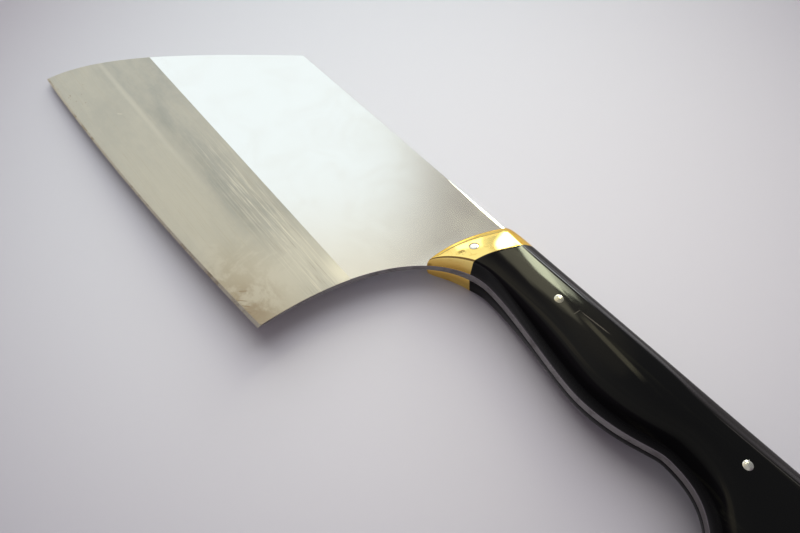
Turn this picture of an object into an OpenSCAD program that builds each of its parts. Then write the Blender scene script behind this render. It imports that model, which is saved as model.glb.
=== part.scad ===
// Cleaver with a full tang, a pair of brass bolsters and riveted horn scales.
// All lengths are in millimetres. The knife lies on its left or right side:
// X runs from the blade to the butt, Y from the cutting edge up to the spine,
// and Z through the thickness, with the middle of the steel at Z = 0.
// Outline sizes are measured from the front corner of the spine.

/* [Blade] */
// Length of the spine from its front corner to the bolster
spine_len = 141; // [110:1:180]
// Depth from the spine to the toe and to the heel
blade_depth = 102.7; // [80:0.1:130]
// How far the toe stands ahead of the front corner of the spine
toe_lead = 66; // [40:0.5:80]
// How far the heel stands ahead of the bolster, measured at the spine
heel_setback = 29; // [20:0.5:45]
// How far the cutting edge bows out below the line from toe to heel
edge_bow = 2.6; // [1:0.1:8]
// Height above the toe that the front edge heads for, straight up, before it bends
front_rise = 14; // [5:1:45]
// Distance below the spine that the front edge heads for before it turns upright
front_run = 94; // [15:1:98]
// Angle between that heading and the spine
front_angle = 48; // [35:1:65]
// Thickness of the blade in its polished flats
blade_t = 2.5; // [2:0.1:3.4]
// Width of the eased corners along the spine
spine_ease = 0.4; // [0.1:0.05:0.8]
// Distance from the bolster at which the eased corners stop
ease_stop = 1.5; // [0:0.1:10]

/* [Grind] */
// Depth of the grind line below the spine at the front
grind_front_drop = 57.5; // [45:0.5:70]
// Depth of the grind line below the spine at the heel
grind_heel_drop = 63; // [45:0.5:75]
// Thickness left by the wide grind just above the cutting bevel
grind_edge_t = 0.7; // [0.4:0.05:1.2]
// Angle of the narrow cutting bevel on each side
edge_angle = 15; // [10:1:25]
// Width of the flat that the cutting bevels leave between them
edge_land = 0.12; // [0.08:0.02:0.3]

/* [Tang] */
// Thickness of the tang under the scales
tang_t = 3.9; // [3.6:0.1:6]
// Length over which the steel thickens from the blade to the tang
ramp_run = 20; // [12:1:30]
// Height above the heel that the heel edge heads for before it turns to the waist
heel_rise = 68; // [40:1:75]
// How far the heel edge leans back over that height
heel_lean = 1.1; // [0:0.1:5]
// Reach of the heel's curve in front of the waist
heel_reach = 9; // [4:0.5:26]

/* [Handle outline] */
// Length of the handle from the bolster to the butt
handle_len = 151; // [125:1:180]
// Distance from the bolster to the waist
waist_x = 13; // [10:0.5:20]
// Depth of the handle at the waist
waist_depth = 25.6; // [22:0.1:32]
// Distance from the bolster to the deepest part of the palm swell
palm_x = 68.5; // [60:0.5:80]
// Depth of the handle at the palm swell
palm_depth = 33.8; // [28:0.1:40]
// Distance from the bolster to the neck behind the palm swell
neck_x = 101; // [90:1:108]
// Depth of the handle at the neck
neck_depth = 27.6; // [22:0.1:33]
// Distance from the bolster to the lowest point of the hooked pommel
beak_x = 138; // [128:1:141]
// Depth of the hooked pommel
beak_depth = 45; // [38:0.5:55]
// Depth at which the butt stands furthest back
butt_depth = 20; // [14:0.5:26]
// Length over which the spine rounds into the butt
butt_round = 11; // [6:0.5:16]

/* [Handle curves] */
// How far the belly runs on from the waist before it turns down to the palm swell
waist_guide = 16; // [6:0.5:24]
// How far the belly runs level in front of the palm swell's deepest point
palm_guide_front = 13; // [6:0.5:18]
// How far the belly runs level behind that point
palm_guide_rear = 17.5; // [6:0.5:20]
// How far the belly runs level in front of the neck
neck_guide_front = 5; // [3:0.5:14]
// How far the belly runs level behind the neck
neck_guide_rear = 25.5; // [8:0.5:28]
// How far the hook runs level in front of its lowest point
beak_guide_front = 13; // [5:0.5:16]
// How far the hook runs level behind its lowest point
beak_guide_rear = 7; // [4:0.5:12]
// Fullness of the hook's rear, as a share of the height it climbs to the butt
hook_fullness = 0.55; // [0.3:0.05:0.8]
// Fullness of the corner between the spine and the butt
corner_fullness = 0.55; // [0.3:0.05:0.8]

/* [Bolster] */
// How far the bolster's lower tip stands ahead of its upper end
tip_lead = 9; // [6:0.5:12]
// Length of the bolster along the spine
bolster_spine_len = 13; // [8:0.5:16]
// Distance of the joint with the scales from the bolster's front, at the belly
bolster_belly_len = 14.3; // [10:0.1:18]
// Bow of the bolster's front edge towards the blade
front_bow = 3.2; // [1:0.1:5]
// How far the joint with the scales sways, forward near the belly and back near the spine
joint_sway = 0.6; // [0:0.1:2]
// Height of the bolster's front edge above the middle of the steel
nose_half = 3.6; // [3:0.1:5]
// Lower height of that edge at the spine
nose_spine_half = 3.2; // [2.9:0.1:4.5]
// Height of the small lip above the upright wall of that edge
nose_lip = 0.5; // [0.2:0.05:1]
// Width of that lip at the belly
nose_lip_w = 0.5; // [0.2:0.05:1.5]
// Width of that lip at the spine
nose_facet_w = 0.8; // [0.3:0.05:2]
// How quickly the bolster swells behind its front edge, where 1 is a straight ramp
nose_swell = 0.45; // [0.35:0.05:1]
// How much sooner than the rest its wall along the spine reaches full height
spine_wall_lead = 1.4; // [1:0.1:2]

/* [Scales] */
// Height of the side above the middle of the steel, at the joint with the bolster
joint_half = 10.7; // [9:0.1:13]
// The same height at the palm swell
palm_half = 11.3; // [9:0.1:14]
// The same height at the neck
neck_half = 10.3; // [8:0.1:13]
// The same height at the butt
pommel_half = 10.9; // [9:0.1:14]
// How much lower the side is along its spine ridge
ridge_drop = 0.3; // [0:0.1:1.5]
// How much the middle of the side is crowned
face_crown = 0.5; // [0:0.1:1.2]
// Height of the wall along the spine, above the middle of the steel
spine_wall = 3.8; // [3:0.1:5.5]
// Width of the sloping facet between the spine wall and the side
facet_w = 7; // [4:0.25:9]
// Height of the wall along the belly at the bolster
belly_wall = 9; // [6:0.1:10]
// Height of that wall in the palm swell and behind it
belly_wall_rear = 3.8; // [3.2:0.1:8]
// Distance from the bolster at which the wall has come down to that height
belly_fade_x = 54; // [40:1:75]
// Width of the rounding above the belly wall at the bolster
belly_round = 1.1; // [0.5:0.1:4]
// Width of that rounding in the palm swell and behind it
belly_round_rear = 7; // [3:0.25:9]
// Lean of the belly wall
belly_lean = 0.8; // [0.2:0.1:2]
// Lean of the spine wall
spine_lean = 0.3; // [0.1:0.05:1]
// Width of the rounding around the butt
butt_edge_w = 6; // [3:0.25:8]
// Height of the wall around the butt
butt_wall = 4.6; // [3.2:0.1:7]

/* [Pins] */
// Diameter of the three pins
pin_d = 3.5; // [2.5:0.1:5]
// Clearance round each pin in its bore
pin_clear = 0.05; // [0.02:0.01:0.15]
// Distance of the bolster pin ahead of the bolster's upper end
bolster_pin_lead = 0.4; // [-2:0.1:2]
// Depth of the bolster pin below the spine
bolster_pin_depth = 20.4; // [15:0.1:24]
// Distance from the bolster to the front handle pin
front_pin_x = 38; // [28:0.5:50]
// Distance from the bolster to the rear handle pin
rear_pin_x = 119.2; // [108:0.5:124]
// Depth of both handle pins below the spine
handle_pin_depth = 14.6; // [12:0.1:17]
// How far the domed pin heads stand proud of the scales
pin_dome = 0.35; // [0.1:0.05:0.8]

/* [Colours] */
// Colour of the steel
steel_colour = "#b9b8b0";
// Colour of the bolsters
brass_colour = "#d9ae3c";
// Colour of the scales
horn_colour = "#1d1c1b";
// Colour of the pins
pin_colour = "#d4d2c6";

/* [Hidden] */
$fn = 48;

// Points on each curve of the outline
curve_steps = 14;
// Steps of each rounded corner and of the crowned face in a section of the handle
arc_steps = 6;
face_steps = 4;
// Sections along each stretch of the handle
bolster_steps = 9;
joint_steps = 3;
palm_steps = 9;
neck_steps = 6;
beak_steps = 8;
butt_steps = 8;
// Flat strips that make up the hollow ramp from blade to tang
ramp_steps = 8;
// Steps of a full turn for the long shallow arc of the cutting edge
edge_fn = 1440;
// Halvings of the search for a place on a curve
search_steps = 24;
// Overshoot of every cutting body past what it cuts
past = 2;
// Shape of a rounding, from 1 for a flat chamfer to 2 for a quarter of an ellipse
round_power = 2;
facet_power = 1.25;

// Places along the knife that the sizes above lead to
heel_x = spine_len - heel_setback;
edge_mid_x = (heel_x - toe_lead) / 2;
edge_half = (heel_x + toe_lead) / 2;
edge_r = (edge_half * edge_half + edge_bow * edge_bow) / (2 * edge_bow);
edge_centre_y = edge_r - blade_depth - edge_bow;
below_edge = -(blade_depth + edge_bow + past);
tip_x = spine_len - tip_lead;
joint_belly_x = tip_x + bolster_belly_len;
joint_spine_x = spine_len + bolster_spine_len;
butt_x = spine_len + handle_len;
ramp_from = joint_belly_x - ramp_run;
fade_to = spine_len + belly_fade_x;

// The whole knife is centred on the middle of its overall box
box_centre = [(butt_x - toe_lead) / 2, -(blade_depth + edge_bow) / 2, 0];

// Curves of the outline, each a cubic curve of two ends and two guides
waist = [spine_len + waist_x, -waist_depth];
palm = [spine_len + palm_x, -palm_depth];
neck = [spine_len + neck_x, -neck_depth];
beak = [spine_len + beak_x, -beak_depth];
butt = [butt_x, -butt_depth];
butt_corner = [butt_x - butt_round, 0];
front_curve = [
    [-toe_lead, below_edge],
    [-toe_lead, front_rise - blade_depth],
    [-front_run * cos(front_angle), -front_run * sin(front_angle)],
    [0, 0]
];
heel_curve = [
    [heel_x, below_edge],
    [heel_x + heel_lean, heel_rise - blade_depth],
    waist - [heel_reach, 0],
    waist
];
palm_curve = [waist, waist + [waist_guide, 0], palm - [palm_guide_front, 0], palm];
neck_curve = [palm, palm + [palm_guide_rear, 0], neck - [neck_guide_front, 0], neck];
beak_curve = [neck, neck + [neck_guide_rear, 0], beak - [beak_guide_front, 0], beak];
pommel_curve = [
    beak,
    beak + [beak_guide_rear, 0],
    butt - [0, hook_fullness * (beak_depth - butt_depth)],
    butt
];
corner_curve = [
    butt_corner,
    butt_corner + [corner_fullness * butt_round, 0],
    butt + [0, corner_fullness * butt_depth],
    butt
];

function mix(a, b, t) = a + (b - a) * t;
function ease(t) = (1 - cos(180 * t)) / 2;
function unit(v) = v / norm(v);
function on_curve(c, t) =
    let (s = 1 - t)
    s * s * s * c[0] + 3 * s * s * t * c[1] + 3 * s * t * t * c[2] + t * t * t * c[3];
function curve_points(c, steps, from = 0, to = 1) =
    [for (i = [0 : steps]) on_curve(c, mix(from, to, i / steps))];
function tail(list) = [for (i = [1 : len(list) - 1]) list[i]];
function backwards(list) = [for (i = [len(list) - 1 : -1 : 0]) list[i]];
// Share of a curve's length parameter at which it reaches a given x
function share_at_x(c, x, low = 0, high = 1, left = search_steps) =
    left == 0 ? (low + high) / 2
    : let (middle = (low + high) / 2)
    on_curve(c, middle)[0] < x
        ? share_at_x(c, x, middle, high, left - 1)
        : share_at_x(c, x, low, middle, left - 1);
// Smooth run through a list of [x, value] pairs
function through(pairs, x, i = 0) =
    x <= pairs[i][0] ? pairs[i][1]
    : i == len(pairs) - 1 ? pairs[i][1]
    : x < pairs[i + 1][0]
        ? mix(pairs[i][1], pairs[i + 1][1], ease((x - pairs[i][0]) / (pairs[i + 1][0] - pairs[i][0])))
        : through(pairs, x, i + 1);

heel_line = curve_points(heel_curve, 2 * curve_steps);
steel_outline = concat(
    curve_points(front_curve, 2 * curve_steps),
    curve_points(corner_curve, curve_steps),
    tail(backwards(curve_points(pommel_curve, curve_steps))),
    tail(backwards(curve_points(beak_curve, curve_steps))),
    tail(backwards(curve_points(neck_curve, curve_steps))),
    tail(backwards(curve_points(palm_curve, curve_steps))),
    tail(backwards(heel_line))
);

// Half thickness of the ground steel at a place along the knife
function steel_half(x) =
    x <= ramp_from ? blade_t / 2
    : x >= joint_belly_x ? tang_t / 2
    : mix(blade_t, tang_t, pow((x - ramp_from) / ramp_run, 2)) / 2;

// Sizes of the handle's cross-section at a place along the knife
function side_half(x) = through(
    [[joint_belly_x, joint_half], [palm[0], palm_half], [neck[0], neck_half], [beak[0], pommel_half]], x);
function wall_height(x) = through([[joint_belly_x, belly_wall], [fade_to, belly_wall_rear]], x);
function round_width(x) = through([[joint_belly_x, belly_round], [fade_to, belly_round_rear]], x);

// One section of the handle. It rises from the belly, crosses the side and drops at the spine.
// sizes holds the belly ridge's and spine ridge's heights, the belly wall's and spine wall's
// heights, the belly rounding's width, the spine facet's width and power, and the share of
// the crown. bend is [bow towards the blade, sway of the two halves].
function section(belly, spine, belly_dir, spine_dir, sizes, bend, floor_z) =
    let (
        across = norm(spine - belly),
        inner_b = sizes[4] + belly_lean,
        inner_s = sizes[5] + spine_lean,
        belly_side = [
            for (j = [0 : arc_steps])
                let (
                    a = 90 * j / arc_steps,
                    z = mix(sizes[2], sizes[0], sin(a)),
                    d = sizes[4] * (1 - cos(a)) + belly_lean * (z - floor_z) / (sizes[0] - floor_z)
                )
                concat(belly + belly_dir * d, z)
        ],
        spine_side = [
            for (j = [arc_steps : -1 : 0])
                let (
                    a = 90 * j / arc_steps,
                    z = mix(sizes[3], sizes[1], pow(sin(a), 2 / sizes[6])),
                    d = sizes[5] * (1 - pow(cos(a), 2 / sizes[6]))
                        + spine_lean * (z - floor_z) / (sizes[1] - floor_z)
                )
                concat(spine + spine_dir * d, z)
        ],
        face = [
            for (k = [1 : face_steps - 1])
                let (
                    u = k / face_steps,
                    p = mix(belly + belly_dir * inner_b, spine + spine_dir * inner_s, u)
                )
                concat(p, mix(sizes[0], sizes[1], u) + face_crown * 4 * u * (1 - u) * sizes[7])
        ],
        ring = concat(
            [concat(belly, floor_z)], belly_side, face, spine_side, [concat(spine, floor_z)]
        )
    )
    [
        for (p = ring)
            let (u = min(1, norm([p[0], p[1]] - belly) / max(across, 1)))
            p - [bend[0] * 4 * u * (1 - u) + bend[1] * sin(360 * u), 0, 0]
    ];

// A section on a straight line between a belly point and the spine
function straight_section(belly, spine_x, sizes, bend, floor_z) =
    let (spine = [spine_x, 0], dir = unit(spine - belly))
    section(belly, spine, dir, -dir, sizes, bend, floor_z);

// Sizes of a scale's section whose belly point lies at x
function scale_sizes(x) = [
    side_half(x), side_half(x) - ridge_drop, wall_height(x), spine_wall,
    round_width(x), facet_w, facet_power, 1
];
butt_sizes = [
    pommel_half, pommel_half, butt_wall, butt_wall, butt_edge_w - belly_lean, butt_edge_w - belly_lean,
    round_power, 0
];

joint_share = share_at_x(heel_curve, joint_belly_x);
tip_share = share_at_x(heel_curve, tip_x);
joint_belly = on_curve(heel_curve, joint_share);
joint_rake = (joint_spine_x - joint_belly_x) / -joint_belly[1];
beak_rake = (butt_corner[0] - beak[0]) / beak_depth;
belly_line = concat(
    curve_points(heel_curve, joint_steps, joint_share, 1),
    tail(curve_points(palm_curve, palm_steps)),
    tail(curve_points(neck_curve, neck_steps)),
    tail(curve_points(beak_curve, beak_steps))
);

// Sections of a scale from the bolster to the hooked pommel, then round the butt
function scale_sections(floor_z) = concat(
    [
        for (i = [0 : len(belly_line) - 1])
            let (
                p = belly_line[i],
                along = (p[0] - joint_belly_x) / (beak[0] - joint_belly_x),
                rake = mix(joint_rake, beak_rake, along),
                sway = joint_sway * max(0, 1 - i / (joint_steps + 1))
            )
            straight_section(p, p[0] - rake * p[1], scale_sizes(p[0]), [0, sway], floor_z)
    ],
    [
        for (i = [1 : butt_steps])
            let (
                t = i / butt_steps,
                p = on_curve(pommel_curve, t),
                q = on_curve(corner_curve, t),
                dir = i < butt_steps ? unit(q - p) : [-1, 0],
                sizes = mix(scale_sizes(beak[0]), butt_sizes, ease(t))
            )
            section(p, q, unit(mix(dir, [-1, 0], t)), unit(mix(-dir, [-1, 0], t)), sizes, [0, 0], floor_z)
    ]
);

// Sizes of a bolster's section at a share of its length
function bolster_sizes(t) =
    let (
        rear = scale_sizes(joint_belly_x),
        swell = pow(t, nose_swell),
        belly_h = mix(nose_half, rear[0], swell),
        spine_h = mix(nose_spine_half, rear[1], swell)
    )
    [
        belly_h, spine_h,
        mix(nose_half - nose_lip, rear[2], swell),
        mix(nose_spine_half - nose_lip, rear[3], min(1, spine_wall_lead * swell)),
        mix(nose_lip_w, rear[4], swell),
        mix(nose_facet_w, rear[5], swell),
        rear[6], t
    ];
function bolster_sections(floor_z) = [
    for (i = [0 : bolster_steps])
        let (
            t = i / bolster_steps,
            p = on_curve(heel_curve, mix(tip_share, joint_share, t)),
            bend = [front_bow * (1 - t), joint_sway * t]
        )
        straight_section(p, mix(spine_len, joint_spine_x, t), bolster_sizes(t), bend, floor_z)
];

// A solid through a row of sections that stand on one flat floor.
// With shut, the last section is folded in two and closes the butt.
module through_sections(rows, floor_z, shut) {
    n = len(rows) - 1;
    w = len(rows[0]);
    last_w = shut ? arc_steps + 2 : w;
    front_floor = [for (j = [1 : w - 2]) [rows[0][j][0], rows[0][j][1], floor_z]];
    rear_floor = shut ? [] : [for (j = [1 : w - 2]) [rows[n][j][0], rows[n][j][1], floor_z]];
    points = concat(
        [for (i = [0 : n - 1]) for (p = rows[i]) p],
        [for (j = [0 : last_w - 1]) rows[n][j]],
        front_floor,
        rear_floor
    );
    f0 = n * w + last_w;
    r0 = f0 + len(front_floor);
    function at(i, j) = i < n ? i * w + j : n * w + (shut ? min(j, w - 1 - j, arc_steps + 1) : j);
    function front_at(j) = j == 0 || j == w - 1 ? at(0, j) : f0 + j - 1;
    function rear_at(j) = j == 0 || j == w - 1 ? at(n, j) : r0 + j - 1;
    skin = [
        for (i = [0 : n - 1]) for (j = [0 : w - 2])
            for (f = [
                [at(i, j), at(i, j + 1), at(i + 1, j + 1)],
                [at(i, j), at(i + 1, j + 1), at(i + 1, j)]
            ])
                if (f[0] != f[1] && f[1] != f[2] && f[0] != f[2]) f
    ];
    front = [
        for (j = [0 : w - 2])
            let (f = [at(0, j), front_at(j), front_at(j + 1), at(0, j + 1)])
            j == 0 ? [f[0], f[2], f[3]] : j == w - 2 ? [f[0], f[1], f[3]] : f
    ];
    rear = shut ? [] : [
        for (j = [0 : w - 2])
            let (f = [at(n, j + 1), rear_at(j + 1), rear_at(j), at(n, j)])
            j == 0 ? [f[0], f[1], f[3]] : j == w - 2 ? [f[0], f[2], f[3]] : f
    ];
    floors = [
        for (i = [0 : n - 1])
            backwards(concat(
                i == 0 ? [for (j = [0 : w - 1]) front_at(j)] : [at(i, 0), at(i, w - 1)],
                i < n - 1 ? [at(i + 1, w - 1), at(i + 1, 0)]
                : shut ? [at(n, 0)]
                : [for (j = [w - 1 : -1 : 0]) rear_at(j)]
            ))
    ];
    polyhedron(points, concat(skin, front, rear, floors), convexity = 8);
}

// Upright bore or pin place through the whole knife
module through_hole(place, d) {
    reach = palm_half + pommel_half;
    translate([place[0], place[1], -reach]) cylinder(d = d, h = 2 * reach);
}

bolster_pin_at = [spine_len - bolster_pin_lead, -bolster_pin_depth];
front_pin_at = [spine_len + front_pin_x, -handle_pin_depth];
rear_pin_at = [spine_len + rear_pin_x, -handle_pin_depth];
bore_d = pin_d + 2 * pin_clear;

// The steel before its outline is cut, thin in the blade and full in the tang.
// It is drawn as a profile in X and Z and runs across the whole depth.
module ground_stock() {
    steps = [for (i = [0 : ramp_steps]) ramp_from + ramp_run * i / ramp_steps];
    top = concat(
        [[-toe_lead - past, blade_t / 2]],
        [for (x = steps) [x, steel_half(x)]],
        [[butt_x + past, tang_t / 2]]
    );
    bottom = [for (p = backwards(top)) [p[0], -p[1]]];
    translate([0, past, 0])
        rotate([90, 0, 0])
            linear_extrude(height = blade_depth + edge_bow + 3 * past)
                polygon(concat(top, bottom));
}

// Cuts one side of the wide grind: a flat plane from the grind line to the edge
module wide_grind() {
    drop = (grind_front_drop + grind_heel_drop) / 2;
    fall = blade_depth - drop;
    tilt = atan((blade_t - grind_edge_t) / 2 / fall);
    turn = atan((grind_front_drop - grind_heel_drop) / (2 * edge_half));
    length = 3 * edge_half;
    translate([edge_mid_x, -drop, blade_t / 2])
        rotate([0, 0, turn])
            rotate([tilt, 0, 0])
                translate([-length / 2, -2 * fall, 0])
                    cube([length, 2 * fall, blade_t]);
}

// Cuts one side of the narrow cutting bevel: a cone that follows the bowed edge
module cutting_bevel() {
    slope = tan(edge_angle);
    reach = grind_edge_t / slope;
    sweep = 2 * asin((edge_half + past) / edge_r);
    translate([edge_mid_x, edge_centre_y, 0])
        rotate([0, 0, 270 - sweep / 2])
            rotate_extrude(angle = sweep, $fn = edge_fn)
                polygon([
                    [edge_r - reach, edge_land / 2 + slope * reach],
                    [edge_r + past / 4, edge_land / 2 - slope * past / 4],
                    [edge_r + past / 4, blade_t],
                    [edge_r - reach, blade_t]
                ]);
}

// Cuts one eased corner along the spine of the blade
module eased_corner() {
    side = 4 * spine_ease;
    translate([-past, 0, blade_t / 2])
        rotate([45, 0, 0])
            translate([0, -spine_ease / sqrt(2), -side / 2])
                cube([spine_len - ease_stop + past, side, side]);
}

module blade() {
    color(steel_colour)
        translate(-box_centre)
            difference() {
                intersection() {
                    linear_extrude(height = tang_t, center = true) polygon(steel_outline);
                    ground_stock();
                    translate([edge_mid_x, edge_centre_y, -tang_t])
                        cylinder(r = edge_r, h = 2 * tang_t, $fn = edge_fn);
                }
                for (side = [0, 1]) mirror([0, 0, side]) {
                    wide_grind();
                    cutting_bevel();
                    eased_corner();
                }
                for (place = [bolster_pin_at, front_pin_at, rear_pin_at]) through_hole(place, bore_d);
            }
}

// One bolster, seated on the hollow ramp of the steel
module bolster_half() {
    difference() {
        through_sections(bolster_sections(0), 0, false);
        ground_stock();
        through_hole(bolster_pin_at, bore_d);
    }
}
module bolster_left() {
    color(brass_colour) translate(-box_centre) bolster_half();
}
module bolster_right() {
    color(brass_colour) translate(-box_centre) mirror([0, 0, 1]) bolster_half();
}

// One scale, seated on the flat of the tang
module scale_half() {
    difference() {
        through_sections(scale_sections(tang_t / 2), tang_t / 2, true);
        for (place = [front_pin_at, rear_pin_at]) through_hole(place, bore_d);
    }
}
module scale_left() {
    color(horn_colour) translate(-box_centre) scale_half();
}
module scale_right() {
    color(horn_colour) translate(-box_centre) mirror([0, 0, 1]) scale_half();
}

// The bolster pin is ground flush, so its ends follow the sides of the bolsters
module bolster_pin() {
    color(pin_colour)
        translate(-box_centre)
            intersection() {
                through_hole(bolster_pin_at, pin_d);
                union() {
                    through_sections(bolster_sections(0), 0, false);
                    mirror([0, 0, 1]) through_sections(bolster_sections(0), 0, false);
                }
            }
}

// A handle pin with two domed heads
module handle_pin(place) {
    r = pin_d / 2;
    top = side_half(place[0]) - ridge_drop / 2 + face_crown;
    dome_r = (r * r + pin_dome * pin_dome) / (2 * pin_dome);
    dome_a = asin(r / dome_r);
    cap = [
        for (i = [0 : arc_steps])
            let (a = dome_a * (1 - i / arc_steps))
            [dome_r * sin(a), top + pin_dome - dome_r * (1 - cos(a))]
    ];
    color(pin_colour)
        translate(-box_centre)
            translate([place[0], place[1], 0])
                rotate_extrude()
                    polygon(concat(cap, [for (p = backwards(cap)) [p[0], -p[1]]]));
}
module front_handle_pin() {
    handle_pin(front_pin_at);
}
module rear_handle_pin() {
    handle_pin(rear_pin_at);
}

blade();
bolster_left();
bolster_right();
bolster_pin();
scale_left();
scale_right();
front_handle_pin();
rear_handle_pin();
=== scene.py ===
"""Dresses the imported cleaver: smooth meshes, finishes, table, light and camera.

Sizes are in millimetres of the knife's drawing, where X runs from the front
corner of the spine towards the butt, Y from the cutting edge up to the spine
at Y = 0, and Z through the thickness, with the steel's middle at Z = 0.
"""

from __future__ import annotations

import logging
import math
from dataclasses import dataclass, field, replace
from enum import Enum, IntEnum
from functools import reduce
from typing import Callable, Sequence, TypeVar, Union

import bmesh
import bpy
import numpy as np
from mathutils import Matrix, Vector
from mathutils.bvhtree import BVHTree
from mathutils.geometry import delaunay_2d_cdt

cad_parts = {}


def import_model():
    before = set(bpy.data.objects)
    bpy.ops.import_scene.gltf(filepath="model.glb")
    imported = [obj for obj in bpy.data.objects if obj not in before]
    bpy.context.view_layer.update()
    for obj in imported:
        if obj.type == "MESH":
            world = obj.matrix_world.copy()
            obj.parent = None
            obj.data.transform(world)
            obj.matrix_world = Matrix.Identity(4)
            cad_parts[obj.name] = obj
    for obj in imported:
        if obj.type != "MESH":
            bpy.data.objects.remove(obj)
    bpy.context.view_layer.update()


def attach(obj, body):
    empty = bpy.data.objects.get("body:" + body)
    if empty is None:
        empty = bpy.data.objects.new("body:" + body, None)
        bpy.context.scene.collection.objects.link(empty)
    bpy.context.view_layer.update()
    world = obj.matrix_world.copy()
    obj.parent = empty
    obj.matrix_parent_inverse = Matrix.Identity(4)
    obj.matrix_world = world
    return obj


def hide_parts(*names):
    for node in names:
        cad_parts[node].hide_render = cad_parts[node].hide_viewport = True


LOG = logging.getLogger("cleaver")
MM = 0.001
BODY = "root"
# Middle of the knife's overall box in the drawing, which is the row frame's origin
BOX_CENTRE = np.array([113.0, -52.65, 0.0])
# Halvings with which a place along a curve is found
HALVINGS = 40
# Keeps a division from a length of nothing
SMALLEST = 1e-9
Colour = tuple[float, float, float]
Triple = tuple[float, float, float]
Place = tuple[float, float]
HeightAt = Callable[[float], float]
BMVert = bmesh.types.BMVert
Material = bpy.types.Material
Piece = bpy.types.Object
Socket = bpy.types.NodeSocket
Feed = Union[float, Sequence[float], Socket]
Amount = TypeVar("Amount", float, np.ndarray)


class Side(Enum):
    """The two mirrored sides of the knife."""

    LEFT = 1.0
    RIGHT = -1.0

    @property
    def label(self) -> str:
        """The side's name as the nodes use it."""
        return self.name.lower()


class Slot(Enum):
    """The record's material slots."""

    STEEL = "steel"
    BRASS = "brass"
    HORN = "horn"
    PIN_STEEL = "pin_steel"


class SteelZone(IntEnum):
    """The zones of the steel, in the order of its finishes."""

    FLAT = 0
    GRIND = 1
    WALL = 2
    BEVEL = 3


def mix(a: Amount, b: Amount, share: float) -> Amount:
    """The value at a share of the way from a to b."""
    return a + (b - a) * share


def ease(share: float) -> float:
    """A share that starts and ends gently."""
    return (1.0 - math.cos(math.pi * share)) / 2.0


def unit(v: np.ndarray) -> np.ndarray:
    """The vector with length 1."""
    return v / np.linalg.norm(v)


def smooth_run(stops: Sequence[Place], x: float) -> float:
    """Follows a smooth run through some stops.

    Args:
        stops: Pairs of x and value, in order.
        x: The place along the run.

    Returns:
        The value at x.
    """
    if x <= stops[0][0]:
        return stops[0][1]
    for (x0, v0), (x1, v1) in zip(stops, stops[1:]):
        if x < x1:
            return mix(v0, v1, ease((x - x0) / (x1 - x0)))
    return stops[-1][1]


def inside_loop(points: np.ndarray, loop: np.ndarray) -> np.ndarray:
    """Tests which points lie inside a closed loop.

    Args:
        points: Places to test, one row each.
        loop: Corners of the loop in order, one row each.

    Returns:
        A boolean for each point.
    """
    inside = np.zeros(len(points), bool)
    x, y = points[:, 0], points[:, 1]
    for (x0, y0), (x1, y1) in zip(loop, np.roll(loop, -1, axis=0)):
        if y0 != y1:
            crosses = (y0 > y) != (y1 > y)
            inside ^= crosses & (x < (x1 - x0) * (y - y0) / (y1 - y0) + x0)
    return inside


@dataclass(frozen=True)
class Curve:
    """A cubic curve of two ends and two guides."""

    start: Sequence[float]
    start_guide: Sequence[float]
    end_guide: Sequence[float]
    end: Sequence[float]

    def at(self, share: float) -> np.ndarray:
        """Finds a point on the curve.

        Args:
            share: How far along the curve it lies, from 0 to 1.

        Returns:
            The point.
        """
        rest = 1.0 - share
        a, b, c, d = map(np.asarray, (self.start, self.start_guide, self.end_guide, self.end))
        return rest**3 * a + 3 * rest * rest * share * b + 3 * rest * share * share * c + share**3 * d

    def points(self, steps: int, low: float = 0.0, high: float = 1.0) -> list[np.ndarray]:
        """Evenly spread points from one share to another, both ends included."""
        return [self.at(mix(low, high, i / steps)) for i in range(steps + 1)]

    def share_where(self, passed: Callable[[np.ndarray], bool]) -> float:
        """Finds where a test along the curve turns from false to true.

        Args:
            passed: A test that is false at the start and true at the end.

        Returns:
            The share of the curve where it changes.
        """
        low, high = 0.0, 1.0
        for _ in range(HALVINGS):
            middle = (low + high) / 2
            low, high = (low, middle) if passed(self.at(middle)) else (middle, high)
        return (low + high) / 2


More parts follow.
